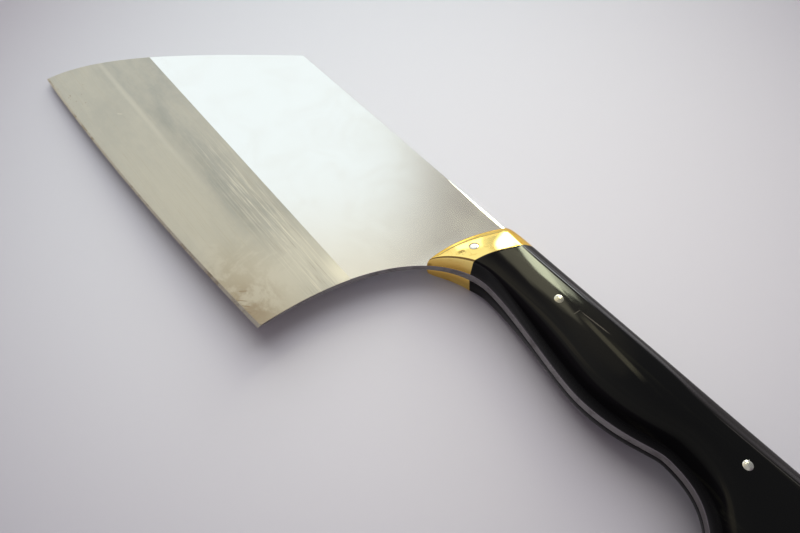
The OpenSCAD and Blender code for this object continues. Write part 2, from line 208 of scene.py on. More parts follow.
@dataclass(frozen=True)
class Outline:
    """The knife's outline seen from its side."""

    spine_len: float = 141.0
    blade_depth: float = 102.7
    toe_lead: float = 66.0
    heel_setback: float = 29.0
    edge_bow: float = 2.6
    below_edge: float = 2.0
    front_rise: float = 14.0
    front_run: float = 94.0
    front_angle: float = 48.0
    heel_rise: float = 68.0
    heel_lean: float = 1.1
    heel_reach: float = 9.0
    handle_len: float = 151.0
    waist: Place = (13.0, 25.6)
    palm: Place = (68.5, 33.8)
    neck: Place = (101.0, 27.6)
    beak: Place = (138.0, 45.0)
    butt_depth: float = 20.0
    butt_round: float = 11.0
    waist_guide: float = 16.0
    palm_guide_front: float = 13.0
    palm_guide_rear: float = 17.5
    neck_guide_front: float = 5.0
    neck_guide_rear: float = 25.5
    beak_guide_front: float = 13.0
    beak_guide_rear: float = 7.0
    hook_fullness: float = 0.55
    corner_fullness: float = 0.55

    def handle_point(self, place: Place) -> np.ndarray:
        """A point given by its distance from the bolster and its depth."""
        return np.array([self.spine_len + place[0], -place[1]])

    @property
    def heel_x(self) -> float:
        """Where the heel's corner stands along the knife."""
        return self.spine_len - self.heel_setback

    @property
    def edge_mid_x(self) -> float:
        """The middle of the cutting edge."""
        return (self.heel_x - self.toe_lead) / 2

    @property
    def edge_half(self) -> float:
        """Half the length of the cutting edge."""
        return (self.heel_x + self.toe_lead) / 2

    @property
    def edge_radius(self) -> float:
        """Radius of the bowed cutting edge."""
        return (self.edge_half**2 + self.edge_bow**2) / (2 * self.edge_bow)

    @property
    def edge_centre(self) -> np.ndarray:
        """Centre of the cutting edge's arc."""
        return np.array([self.edge_mid_x, self.edge_radius - self.blade_depth - self.edge_bow])

    @property
    def lowest_y(self) -> float:
        """Where the front and heel curves start, below the cutting edge."""
        return -(self.blade_depth + self.edge_bow + self.below_edge)

    @property
    def butt(self) -> np.ndarray:
        """The rearmost point."""
        return np.array([self.spine_len + self.handle_len, -self.butt_depth])

    @property
    def butt_corner(self) -> np.ndarray:
        """Where the spine starts to round into the butt."""
        return np.array([self.butt[0] - self.butt_round, 0.0])

    @property
    def front_curve(self) -> Curve:
        """Runs from below the toe up to the front corner of the spine.

        Returns:
            The curve.
        """
        angle = math.radians(self.front_angle)
        return Curve(
            (-self.toe_lead, self.lowest_y),
            (-self.toe_lead, self.front_rise - self.blade_depth),
            (-self.front_run * math.cos(angle), -self.front_run * math.sin(angle)),
            (0.0, 0.0),
        )

    @property
    def heel_curve(self) -> Curve:
        """Runs from below the heel round to the waist of the handle.

        Returns:
            The curve.
        """
        waist = self.handle_point(self.waist)
        start = (self.heel_x, self.lowest_y)
        guide = (self.heel_x + self.heel_lean, self.heel_rise - self.blade_depth)
        return Curve(start, guide, waist - (self.heel_reach, 0.0), waist)

    @property
    def belly_curves(self) -> list[Curve]:
        """Runs from the waist to the lowest point of the hooked pommel.

        Returns:
            The curves in order.
        """
        waist, palm, neck, beak = map(self.handle_point, (self.waist, self.palm, self.neck, self.beak))
        return [
            self.level_curve(waist, self.waist_guide, palm, self.palm_guide_front),
            self.level_curve(palm, self.palm_guide_rear, neck, self.neck_guide_front),
            self.level_curve(neck, self.neck_guide_rear, beak, self.beak_guide_front),
        ]

    @staticmethod
    def level_curve(a: np.ndarray, run_a: float, b: np.ndarray, run_b: float) -> Curve:
        """A curve that leaves a and reaches b level with the spine."""
        return Curve(a, a + (run_a, 0.0), b - (run_b, 0.0), b)

    @property
    def pommel_curve(self) -> Curve:
        """Runs from the lowest point of the pommel up to the butt.

        Returns:
            The curve.
        """
        beak = self.handle_point(self.beak)
        climb = self.hook_fullness * (self.beak[1] - self.butt_depth)
        return Curve(beak, beak + (self.beak_guide_rear, 0.0), self.butt - (0.0, climb), self.butt)

    @property
    def corner_curve(self) -> Curve:
        """From the spine round to the butt."""
        run, drop = self.corner_fullness * self.butt_round, self.corner_fullness * self.butt_depth
        return Curve(self.butt_corner, self.butt_corner + (run, 0.0), self.butt + (0.0, drop), self.butt)

    def edge_y(self, x: float) -> float:
        """Height of the cutting edge at x."""
        centre = self.edge_centre
        return centre[1] - math.sqrt(self.edge_radius**2 - (x - centre[0]) ** 2)

    def above_edge(self, p: np.ndarray) -> bool:
        """True above the arc of the cutting edge."""
        return bool(p[1] > self.edge_y(p[0]))


@dataclass(frozen=True)
class SteelForm:
    """Thickness of the one-piece blade and tang over its outline."""

    outline: Outline = Outline()
    blade_t: float = 2.5
    tang_t: float = 3.9
    ramp_run: float = 20.0
    tip_lead: float = 9.0
    bolster_belly_len: float = 14.3
    grind_front_drop: float = 57.5
    grind_heel_drop: float = 63.0
    grind_edge_t: float = 0.7
    edge_angle: float = 15.0
    edge_land: float = 0.12
    spine_ease: float = 0.4
    ease_stop: float = 1.5
    ease_fade: float = 1.2

    @property
    def tip_x(self) -> float:
        """Where the bolster's lower tip starts."""
        return self.outline.spine_len - self.tip_lead

    @property
    def joint_x(self) -> float:
        """Where bolster and scale meet at the belly, and the tang is full."""
        return self.tip_x + self.bolster_belly_len

    @property
    def ramp_from(self) -> float:
        """Where the polished flat ends and the hollow ramp starts."""
        return self.joint_x - self.ramp_run

    @property
    def grind_drop(self) -> float:
        """Depth of the grind line at the middle of the edge."""
        return (self.grind_front_drop + self.grind_heel_drop) / 2

    @property
    def grind_turn(self) -> float:
        """Angle of the grind line against the spine, in radians."""
        return math.atan((self.grind_front_drop - self.grind_heel_drop) / (2 * self.outline.edge_half))

    def below_grind_line(self, x: float, y: float) -> float:
        """Distance below the grind line, negative above it."""
        turn = self.grind_turn
        return (x - self.outline.edge_mid_x) * math.sin(turn) - (y + self.grind_drop) * math.cos(turn)

    def stock_half(self, x: float) -> float:
        """Half thickness before the grinds."""
        share = min(1.0, max(0.0, (x - self.ramp_from) / self.ramp_run))
        return mix(self.blade_t, self.tang_t, share**2) / 2

    def grind_half(self, x: float, y: float) -> float:
        """Finds the half thickness that the wide grind leaves.

        Args:
            x: Place along the knife.
            y: Height of the place, 0 at the spine.

        Returns:
            The half thickness.
        """
        fall = self.outline.blade_depth - self.grind_drop
        slope = (self.blade_t - self.grind_edge_t) / 2 / fall
        return self.blade_t / 2 - slope * self.below_grind_line(x, y)

    def bevel_half(self, x: float, y: float) -> float:
        """Half thickness that the narrow cutting bevel leaves."""
        reach = self.outline.edge_radius - math.dist((x, y), self.outline.edge_centre)
        return self.edge_land / 2 + math.tan(math.radians(self.edge_angle)) * reach

    def ease_half(self, x: float, y: float) -> float:
        """Half thickness that the eased corner along the spine leaves."""
        gone = max(0.0, (x - self.outline.spine_len + self.ease_stop) / self.ease_fade)
        return self.blade_t / 2 - self.spine_ease - y + self.tang_t * gone

    def half(self, x: float, y: float) -> float:
        """Finds the half thickness of the finished steel.

        Args:
            x: Place along the knife.
            y: Height of the place, 0 at the spine.

        Returns:
            The half thickness.
        """
        half = min(self.stock_half(x), self.ease_half(x, y))
        if x < self.ramp_from:
            half = min(half, self.grind_half(x, y), self.bevel_half(x, y))
        return half

    def bevel_top(self, angle: float) -> np.ndarray:
        """Where bevel and wide grind meet, on a ray from the edge's centre.

        Args:
            angle: Angle of the ray against straight down, in radians.

        Returns:
            The place on the ray.
        """
        way = np.array([math.sin(angle), -math.cos(angle)])
        low, high = 0.0, self.outline.edge_radius / 2
        for _ in range(HALVINGS):
            reach = (low + high) / 2
            p = self.outline.edge_centre + way * (self.outline.edge_radius - reach)
            if self.bevel_half(*p) > self.grind_half(*p):
                high = reach
            else:
                low = reach
        return self.outline.edge_centre + way * (self.outline.edge_radius - low)


@dataclass(frozen=True)
class PinForm:
    """One pin through the whole knife."""

    name: str
    place: Place
    diameter: float = 3.5

    def loop(self, radius: float, steps: int) -> np.ndarray:
        """Draws a circle round the pin's axis.

        Args:
            radius: Its radius.
            steps: How many points it has.

        Returns:
            The points, one row each.
        """
        angles = np.linspace(0.0, 2 * math.pi, steps, endpoint=False)
        ring = np.stack([np.cos(angles), np.sin(angles)], axis=1) * radius
        return ring + np.asarray(self.place)

    def ring(self, radius: float, steps: int) -> np.ndarray:
        """Points round the pin's axis, or the single point on it for no radius."""
        return self.loop(radius, steps) if radius > 0 else np.array([self.place])


BOLSTER_PIN = PinForm("bolster_pin", (140.6, -20.4))
FRONT_PIN = PinForm("front_handle_pin", (179.0, -14.6))
REAR_PIN = PinForm("rear_handle_pin", (260.2, -14.6))


@dataclass(frozen=True)
class SectionSizes:
    """Heights and widths of one cross-section of the handle."""

    belly_ridge: float
    spine_ridge: float
    belly_wall: float
    spine_wall: float
    belly_w: float
    spine_w: float
    power: float
    crown: float

    def mixed(self, other: SectionSizes, share: float) -> SectionSizes:
        """The sizes at a share of the way to another section."""
        pairs = zip(self.values(), other.values())
        return SectionSizes(*(mix(a, b, share) for a, b in pairs))

    def values(self) -> tuple[float, ...]:
        """All sizes in order."""
        return tuple(getattr(self, name) for name in self.__dataclass_fields__)


@dataclass(frozen=True)
class Seat:
    """The steel under a section: its height at x, and where the walls' lean starts."""

    floor: HeightAt
    lean_from: float


@dataclass(frozen=True)
class HandleForm:
    """The swelling body of bolsters and scales."""

    steel: SteelForm = SteelForm()
    bolster_spine_len: float = 13.0
    front_bow: float = 3.2
    joint_sway: float = 0.6
    nose_half: float = 3.6
    nose_spine_half: float = 3.2
    nose_lip: float = 0.5
    nose_lip_w: float = 0.5
    nose_facet_w: float = 0.8
    nose_swell: float = 0.45
    spine_wall_lead: float = 1.4
    joint_half: float = 10.7
    palm_half: float = 11.3
    neck_half: float = 10.3
    pommel_half: float = 10.9
    ridge_drop: float = 0.3
    face_crown: float = 0.5
    spine_wall: float = 3.8
    facet_w: float = 7.0
    facet_power: float = 1.25
    belly_wall: float = 9.0
    belly_wall_rear: float = 3.8
    belly_fade_x: float = 54.0
    belly_round: float = 1.1
    belly_round_rear: float = 7.0
    belly_lean: float = 0.8
    spine_lean: float = 0.3
    butt_edge_w: float = 6.0
    butt_wall: float = 4.6
    round_power: float = 2.0
    seam_round: float = 0.15
    heel_run: float = 9.0
    heel_extra: int = 4
    butt_run: float = 34.0
    arc_steps: int = 14
    face_steps: int = 18
    seam_steps: int = 2
    front_crowding: float = 1.5

    @property
    def outline(self) -> Outline:
        """The knife's outline."""
        return self.steel.outline

    @property
    def joint_spine_x(self) -> float:
        """Where bolster and scale meet at the spine."""
        return self.outline.spine_len + self.bolster_spine_len

    @property
    def tang_seat(self) -> Seat:
        """The tang's flat under the scales."""
        half = self.steel.tang_t / 2
        return Seat(lambda _: half, half)

    @property
    def blade_seat(self) -> Seat:
        """The swelling steel under the bolsters."""
        return Seat(self.steel.stock_half, 0.0)

    def side_half(self, x: float) -> float:
        """Finds the height of the handle's side.

        Args:
            x: Place along the knife.

        Returns:
            The height above the steel's middle.
        """
        first = self.outline.spine_len
        stops = [
            (self.steel.joint_x, self.joint_half),
            (first + self.outline.palm[0], self.palm_half),
            (first + self.outline.neck[0], self.neck_half),
            (first + self.outline.beak[0], self.pommel_half),
        ]
        return smooth_run(stops, x)

    def scale_sizes(self, x: float) -> SectionSizes:
        """Finds the sizes of a scale's section.

        Args:
            x: Place of its belly point along the knife.

        Returns:
            The sizes.
        """
        fade_to = self.outline.spine_len + self.belly_fade_x
        joint_x = self.steel.joint_x
        side = self.side_half(x)
        return SectionSizes(
            side,
            side - self.ridge_drop,
            smooth_run([(joint_x, self.belly_wall), (fade_to, self.belly_wall_rear)], x),
            self.spine_wall,
            smooth_run([(joint_x, self.belly_round), (fade_to, self.belly_round_rear)], x),
            self.facet_w,
            self.facet_power,
            1.0,
        )

    @property
    def butt_sizes(self) -> SectionSizes:
        """Gives the sizes of the section that closes the butt.

        Returns:
            The sizes.
        """
        width = self.butt_edge_w - self.belly_lean
        top, wall = self.pommel_half, self.butt_wall
        return SectionSizes(top, top, wall, wall, width, width, self.round_power, 0.0)

    def bolster_sizes(self, share: float) -> SectionSizes:
        """Finds the sizes of a bolster's section.

        Args:
            share: How far it lies from the front edge to the joint, from 0 to 1.

        Returns:
            The sizes.
        """
        rear = self.scale_sizes(self.steel.joint_x)
        swell = share**self.nose_swell
        wall_swell = min(1.0, self.spine_wall_lead * swell)
        return SectionSizes(
            mix(self.nose_half, rear.belly_ridge, swell),
            mix(self.nose_spine_half, rear.spine_ridge, swell),
            mix(self.nose_half - self.nose_lip, rear.belly_wall, swell),
            mix(self.nose_spine_half - self.nose_lip, rear.spine_wall, wall_swell),
            mix(self.nose_lip_w, rear.belly_w, swell),
            mix(self.nose_facet_w, rear.spine_w, swell),
            rear.power,
            share,
        )

    def section(
        self,
        belly: np.ndarray,
        spine: np.ndarray,
        ways: tuple[np.ndarray, np.ndarray],
        sizes: SectionSizes,
        bend: Place,
        seat: Seat,
    ) -> np.ndarray:
        """Draws one section, up the belly, across the side and down at the spine.

        Args:
            belly: The section's point on the belly.
            spine: Its point on the spine.
            ways: Directions inwards from the belly and from the spine.
            sizes: The section's heights and widths.
            bend: Bow towards the blade, and sway of the two halves.
            seat: The steel under the section.

        Returns:
            The points, one row each.
        """
        s, low = sizes, seat.lean_from
        across = max(float(np.linalg.norm(spine - belly)), 1.0)
        turns = np.linspace(0.0, math.pi / 2, self.arc_steps + 1)
        belly_z = s.belly_wall + (s.belly_ridge - s.belly_wall) * np.sin(turns)
        belly_d = s.belly_w * (1 - np.cos(turns))
        belly_d = belly_d + self.belly_lean * (belly_z - low) / (s.belly_ridge - low)
        spine_z = s.spine_wall + (s.spine_ridge - s.spine_wall) * np.sin(turns) ** (2 / s.power)
        spine_d = s.spine_w * (1 - np.abs(np.cos(turns)) ** (2 / s.power))
        spine_d = spine_d + self.spine_lean * (spine_z - low) / (s.spine_ridge - low)
        ring = [(*(belly + ways[0] * d), z) for d, z in zip(belly_d, belly_z)]
        inner_belly = belly + ways[0] * (s.belly_w + self.belly_lean)
        inner_spine = spine + ways[1] * (s.spine_w + self.spine_lean)
        for k in range(1, self.face_steps):
            u = k / self.face_steps
            crown = self.face_crown * 4 * u * (1 - u) * s.crown
            ring.append((*mix(inner_belly, inner_spine, u), mix(s.belly_ridge, s.spine_ridge, u) + crown))
        ring += [(*(spine + ways[1] * d), z) for d, z in zip(spine_d[::-1], spine_z[::-1])]
        points = np.array(ring)
        u = np.minimum(1.0, np.linalg.norm(points[:, :2] - belly, axis=1) / across)
        points[:, 0] -= bend[0] * 4 * u * (1 - u) + bend[1] * np.sin(2 * math.pi * u)
        first = self.seam_points(points[0], ways[0], seat, s.belly_ridge, self.belly_lean)
        last = self.seam_points(points[-1], ways[1], seat, s.spine_ridge, self.spine_lean)
        return np.vstack([first, points, last[::-1]])

    def seam_points(
        self, wall_top: np.ndarray, way: np.ndarray, seat: Seat, ridge: float, lean: float
    ) -> np.ndarray:
        """Draws a wall down to the steel, with its lowest corner broken.

        Args:
            wall_top: The wall's highest point.
            way: Direction inwards.
            seat: The steel under the section.
            ridge: Height of the ridge above this wall.
            lean: The wall's lean over its whole height.

        Returns:
            The points from the steel up, without the wall's top.
        """
        low = seat.floor(wall_top[0])
        foot = wall_top[:2] - way * lean * (wall_top[2] - low) / (ridge - seat.lean_from)
        rows = []
        for step in range(self.seam_steps + 1):
            turn = math.pi / 2 * step / self.seam_steps
            inwards = way * self.seam_round * (1 - math.sin(turn))
            rows.append(np.array([*(foot + inwards), low + self.seam_round * (1 - math.cos(turn))]))
        rows.append(mix(rows[-1], wall_top, 0.5))
        return np.array(rows)

    def straight_section(
        self, belly: np.ndarray, spine_x: float, sizes: SectionSizes, bend: Place, seat: Seat
    ) -> np.ndarray:
        """Draws a section on a straight line between a belly point and the spine.

        Args:
            belly: The section's point on the belly.
            spine_x: Where it meets the spine.
            sizes: Its heights and widths.
            bend: Bow towards the blade, and sway of the two halves.
            seat: The steel under the section.

        Returns:
            The points, one row each.
        """
        spine = np.array([spine_x, 0.0])
        way = unit(spine - belly)
        return self.section(belly, spine, (way, -way), sizes, bend, seat)

    def bolster_rings(self, steps: int) -> list[np.ndarray]:
        """Draws the sections of a bolster from its front edge to the joint.

        Args:
            steps: Steps between them.

        Returns:
            The sections.
        """
        curve = self.outline.heel_curve
        first = curve.share_where(lambda p: bool(p[0] > self.steel.tip_x))
        last = curve.share_where(lambda p: bool(p[0] > self.steel.joint_x))
        rings = []
        for i in range(steps + 1):
            share = (i / steps) ** self.front_crowding
            belly = curve.at(mix(first, last, share))
            bend = (self.front_bow * (1 - share), self.joint_sway * share)
            spine_x = mix(self.outline.spine_len, self.joint_spine_x, share)
            sizes = self.bolster_sizes(share)
            rings.append(self.straight_section(belly, spine_x, sizes, bend, self.blade_seat))
        return rings

    def scale_rings(self, steps_per_mm: float) -> list[np.ndarray]:
        """Draws the sections of a scale from the joint to the butt.

        Args:
            steps_per_mm: Steps for each millimetre along the handle.

        Returns:
            The sections, of which the last is folded shut.
        """
        out, seat = self.outline, self.tang_seat
        joint_share = out.heel_curve.share_where(lambda p: bool(p[0] > self.steel.joint_x))
        joint_belly = out.heel_curve.at(joint_share)
        heel_steps = int(self.heel_run * steps_per_mm) + self.heel_extra
        belly = out.heel_curve.points(heel_steps, joint_share, 1.0)
        fade_x = belly[-1][0]
        for curve in out.belly_curves:
            belly += curve.points(int((curve.end[0] - curve.start[0]) * steps_per_mm))[1:]
        beak_x = out.spine_len + out.beak[0]
        joint_rake = (self.joint_spine_x - self.steel.joint_x) / -joint_belly[1]
        beak_rake = (out.butt_corner[0] - beak_x) / out.beak[1]
        rings = []
        for p in belly:
            along = (p[0] - self.steel.joint_x) / (beak_x - self.steel.joint_x)
            rake = mix(joint_rake, beak_rake, along)
            sway = self.joint_sway * max(0.0, (fade_x - p[0]) / (fade_x - self.steel.joint_x))
            sizes = self.scale_sizes(p[0])
            rings.append(self.straight_section(p, p[0] - rake * p[1], sizes, (0.0, sway), seat))
        steps = int(self.butt_run * steps_per_mm)
        back = np.array([-1.0, 0.0])
        for i in range(1, steps + 1):
            share = i / steps
            p, q = out.pommel_curve.at(share), out.corner_curve.at(share)
            way = unit(q - p) if i < steps else back
            ways = (unit(mix(way, back, share)), unit(mix(-way, back, share)))
            sizes = self.scale_sizes(beak_x).mixed(self.butt_sizes, ease(share))
            rings.append(self.section(p, q, ways, sizes, (0.0, 0.0), seat))
        return rings


def inset_ring(ring: np.ndarray, depth: float, reach: int = 6) -> np.ndarray:
    """Draws a section's points inwards, along the surface that the section stands in.

    Args:
        ring: The section, one row a point.
        depth: How far each point moves.
        reach: Neighbours on each side that give the surface's direction.

    Returns:
        The smaller section.
    """
    last = len(ring) - 1
    index = np.arange(last + 1)
    along = ring[np.minimum(index + reach, last), :2] - ring[np.maximum(index - reach, 0), :2]
    along /= np.maximum(np.linalg.norm(along, axis=1, keepdims=True), SMALLEST)
    across = ring[-1, :2] - ring[0, :2]
    across = across / max(float(np.linalg.norm(across)), SMALLEST)
    flat = np.stack([(ring[:, :2] - ring[0, :2]) @ across, ring[:, 2]], axis=1)
    tangent = np.gradient(flat, axis=0)
    tangent /= np.maximum(np.linalg.norm(tangent, axis=1, keepdims=True), SMALLEST)
    moved = ring.copy()
    moved[:, :2] += along * tangent[:, 1:] * depth
    moved[:, 2] -= tangent[:, 0] * depth
    moved[0, 2], moved[-1, 2] = ring[0, 2], ring[-1, 2]
    return moved


def broken_end(rings: list[np.ndarray], radius: float, steps: int = 3) -> list[np.ndarray]:
    """Rounds the corner at the first ring of a loft.

    Args:
        rings: Sections in order.
        radius: The corner's radius.
        steps: Steps of the rounding.

    Returns:
        The sections with the rounding in place of the first.
    """
    # Sections that stand closer than this would cross the rounding
    clear = 1.5 * radius
    gaps = (float(np.linalg.norm(ring - rings[0], axis=1).min()) for ring in rings)
    first_kept = next(i for i, gap in enumerate(gaps) if gap > clear)
    rest = rings[first_kept:]
    step = np.linalg.norm(rest[0] - rings[0], axis=1, keepdims=True)
    way = (rest[0] - rings[0]) / step
    corner = []
    for k in range(steps + 1):
        turn = math.pi / 2 * k / steps
        station = rings[0] + way * radius * (1 - math.cos(turn))
        corner.append(inset_ring(station, radius * (1 - math.sin(turn))))
    return corner + rest


class MeshWorks:
    """Turns rows of points into clean mesh objects."""

    # Metres within which corners merge and slivers go, and decimals of a shared place in millimetres
    MERGE = 1e-7
    SLIVER = 1e-8
    DECIMALS = 4
    BORE_STEPS = 64

    @staticmethod
    def to_row_frame(points: np.ndarray, side: Side = Side.LEFT) -> np.ndarray:
        """Drawing millimetres to metres of the row frame, mirrored for the right side."""
        placed = np.asarray(points, float) * (1.0, 1.0, side.value)
        return (placed - BOX_CENTRE) * MM

    @staticmethod
    def to_object(name: str, bm: bmesh.types.BMesh, sharp_angle: float) -> Piece:
        """Finishes a bmesh as a smooth-shaded object in the scene.

        Args:
            name: The object's name.
            bm: The mesh, which is freed.
            sharp_angle: Edges that turn by more than these degrees stay crisp.

        Returns:
            The new object.
        """
        bmesh.ops.remove_doubles(bm, verts=bm.verts, dist=MeshWorks.MERGE)
        bmesh.ops.dissolve_degenerate(bm, dist=MeshWorks.SLIVER, edges=bm.edges)
        bmesh.ops.recalc_face_normals(bm, faces=bm.faces)
        limit = math.radians(sharp_angle)
        for edge in bm.edges:
            if len(edge.link_faces) == 2 and edge.calc_face_angle(0.0) > limit:
                edge.smooth = False
        for face in bm.faces:
            face.smooth = True
        mesh = bpy.data.meshes.new(name)
        bm.to_mesh(mesh)
        bm.free()
        piece = bpy.data.objects.new(name, mesh)
        bpy.context.scene.collection.objects.link(piece)
        return piece

    @classmethod
    def loft(
        cls, rings: list[np.ndarray], floor: HeightAt, side: Side, shut: bool
    ) -> bmesh.types.BMesh:
        """Skins a row of sections that stand on the steel.

        Args:
            rings: Sections of equal length, in order.
            floor: Height of the steel at x.
            side: The side of the knife.
            shut: Whether the last section is folded and closes the form by itself.

        Returns:
            A closed mesh in the row frame.
        """
        bm = bmesh.new()
        pool: dict[tuple[float, ...], BMVert] = {}

        def corner(point: np.ndarray) -> BMVert:
            """Gives the mesh corner at a point, shared where points meet.

            Args:
                point: The point.

            Returns:
                The corner.
            """
            key = tuple(np.round(point, cls.DECIMALS))
            if key not in pool:
                pool[key] = bm.verts.new(cls.to_row_frame(point, side))
            return pool[key]

        def fill(*corners: BMVert) -> None:
            """Adds a face, unless its corners meet in a line or a point."""
            unique = list(dict.fromkeys(corners))
            if len(unique) > 2:
                bm.faces.new(unique)

        skins, floors = [], []
        for ring in rings:
            last = len(ring) - 1
            folded = shut and ring is rings[-1]
            points = [ring[min(j, last - j)] for j in range(last + 1)] if folded else list(ring)
            skins.append([corner(p) for p in points])
            floors.append([corner(p) for p in cls.floor_points(points, floor)])
        for rows in (skins, floors):
            for a, b in zip(rows, rows[1:]):
                for j in range(len(a) - 1):
                    fill(a[j], a[j + 1], b[j + 1], b[j])
        for end in [0] if shut else [0, -1]:
            for j in range(len(skins[end]) - 1):
                fill(skins[end][j], skins[end][j + 1], floors[end][j + 1], floors[end][j])
        return bm

    @staticmethod
    def floor_points(ring: Sequence[np.ndarray], floor: HeightAt) -> list[np.ndarray]:
        """Drops a section onto the steel, with its walls' feet as the ends.

        Args:
            ring: The section's points.
            floor: Height of the steel at x.

        Returns:
            As many points on the steel.
        """
        first, last = ring[0], ring[-1]
        across = last[:2] - first[:2]
        span = float(across @ across)
        dropped = []
        for p in ring:
            share = float((p[:2] - first[:2]) @ across) / span if span > 0 else 0.0
            if share <= 0:
                dropped.append(first)
            elif share >= 1:
                dropped.append(last)
            else:
                dropped.append(np.array([p[0], p[1], floor(p[0])]))
        return dropped

    @classmethod
    def pin(cls, name: str, ends: Sequence[Sequence[np.ndarray]], sharp_angle: float) -> Piece:
        """Skins a pin from the rings of its two ends.

        Args:
            name: The object's name.
            ends: The rings of each end, from the single point on the axis outwards.
            sharp_angle: Edges that turn by more than these degrees stay crisp.

        Returns:
            The pin.
        """
        bm = bmesh.new()
        rims = []
        for rings in ends:
            rows = [[bm.verts.new(p) for p in ring] for ring in rings]
            for inner, outer in zip(rows, rows[1:]):
                for j in range(len(outer)):
                    n = (j + 1) % len(outer)
                    corners = (inner[j % len(inner)], outer[j], outer[n], inner[n % len(inner)])
                    bm.faces.new(list(dict.fromkeys(corners)))
            rims.append(rows[-1])
        cls.join_rims(bm, *rims)
        return cls.to_object(name, bm, sharp_angle)

    @staticmethod
    def join_rims(bm: bmesh.types.BMesh, low: Sequence[BMVert], high: Sequence[BMVert]) -> None:
        """Adds the wall between two closed loops of equal length.

        Args:
            bm: The mesh.
            low: Corners of one loop.
            high: Corners of the other.
        """
        for j in range(len(low)):
            n = (j + 1) % len(low)
            bm.faces.new((low[j], low[n], high[n], high[j]))

    @classmethod
    def bore(cls, piece: Piece, pins: Sequence[PinForm], clearance: float, reach: float) -> None:
        """Bores a piece right through for its pins.

        Args:
            piece: The object to bore.
            pins: The pins whose places are bored.
            clearance: Clearance round each pin.
            reach: How far the cutter reaches on each side of the steel's middle.
        """
        bm = bmesh.new()
        for pin in pins:
            loop = pin.loop(pin.diameter / 2 + clearance, cls.BORE_STEPS)
            rows = []
            for z in (-reach, reach):
                points = np.column_stack([loop, np.full(len(loop), z)])
                rows.append([bm.verts.new(p) for p in cls.to_row_frame(points)])
            bm.faces.new(rows[0][::-1])
            bm.faces.new(rows[1])
            cls.join_rims(bm, *rows)
        mesh = bpy.data.meshes.new("cutter")
        bm.to_mesh(mesh)
        bm.free()
        cutter = bpy.data.objects.new("cutter", mesh)
        bpy.context.scene.collection.objects.link(cutter)
        cut = piece.modifiers.new("bore", "BOOLEAN")
        cut.operation = "DIFFERENCE"
        cut.solver = "EXACT"
        cut.object = cutter
        bpy.context.view_layer.update()
        shown = piece.evaluated_get(bpy.context.evaluated_depsgraph_get())
        bored = bpy.data.meshes.new_from_object(shown)
        piece.modifiers.clear()
        piece.data = bored
        bpy.data.objects.remove(cutter)


class NodeTree:
    """A node tree, with short calls for the arithmetic of finishes and sky."""

    def __init__(self, tree: bpy.types.NodeTree) -> None:
        """Takes a tree and clears it.

        Args:
            tree: The tree of a material or of the world.
        """
        self.tree = tree
        tree.nodes.clear()

    def feed(self, socket: Socket, value: Feed) -> None:
        """Links a socket to an input, or sets its plain value.

        Args:
            socket: The input to feed.
            value: An output, a number, a triple or a colour.
        """
        if isinstance(value, Socket):
            self.tree.links.new(value, socket)
        elif isinstance(value, (tuple, list)) and socket.type == "RGBA":
            socket.default_value = (*value, 1.0)
        else:
            socket.default_value = value

    def calc(
        self, operation: str, a: Feed, b: Feed = 0.0, c: Feed = 0.0, clamp: bool = False
    ) -> Socket:
        """Does one step of arithmetic.

        Args:
            operation: The math node's operation.
            a: Its first number.
            b: Its second number.
            c: Its third number.
            clamp: Whether the result is held between 0 and 1.

        Returns:
            The result.
        """
        step = self.tree.nodes.new("ShaderNodeMath")
        step.operation = operation
        step.use_clamp = clamp
        for socket, value in zip(step.inputs, (a, b, c)):
            self.feed(socket, value)
        return step.outputs[0]

    def times(self, a: Feed, b: Feed) -> Socket:
        """The product of two numbers."""
        return self.calc("MULTIPLY", a, b)

    def size(self, value: Feed) -> Socket:
        """The value without its sign."""
        return self.calc("ABSOLUTE", value)

    def between(self, share: Feed, low: float, high: float) -> Socket:
        """The number at a share of the way from low to high."""
        return self.calc("MULTIPLY_ADD", share, high - low, low)

    def span(
        self, value: Feed, low: float, high: float, out_low: float = 0.0, out_high: float = 1.0
    ) -> Socket:
        """Takes a value from one range to another in a smooth step.

        Args:
            value: The value.
            low: Where the step starts.
            high: Where it ends.
            out_low: Result up to the start.
            out_high: Result from the end on.

        Returns:
            The result.
        """
        step = self.tree.nodes.new("ShaderNodeMapRange")
        step.interpolation_type = "SMOOTHSTEP"
        for socket, number in zip(step.inputs, (value, low, high, out_low, out_high)):
            self.feed(socket, number)
        return step.outputs[0]

    def band(self, value: Feed, middle: float, half: float, fade: float) -> Socket:
        """Marks a range of values.

        Args:
            value: The value.
            middle: Middle of the range.
            half: How far the full share reaches from the middle.
            fade: How far it takes from there to 0.

        Returns:
            1 inside the range and 0 well outside it.
        """
        gap = self.size(self.calc("SUBTRACT", value, middle))
        return self.span(gap, half, half + fade, 1.0, 0.0)

    def blend(self, share: Feed, a: Feed, b: Feed, label: str = "") -> Socket:
        """Mixes two colours.

        Args:
            share: Share of the second colour.
            a: The first colour.
            b: The second colour.
            label: The step's label in the tree.

        Returns:
            The colour between them.
        """
        step = self.tree.nodes.new("ShaderNodeMix")
        step.data_type = "RGBA"
        step.label = label
        # The colour sockets of this node come after those for numbers and vectors
        for index, value in ((0, share), (6, a), (7, b)):
            self.feed(step.inputs[index], value)
        return step.outputs[2]

    def laid(self, under: Feed, over: Feed, *shares: Feed) -> Socket:
        """A colour with another laid over it, by the product of some shares."""
        return self.blend(reduce(self.times, shares), under, over)


@dataclass(frozen=True)
class Spot:
    """A soft round spot, full up to inner and gone at outer millimetres."""

    centre: Triple
    inner: float
    outer: float


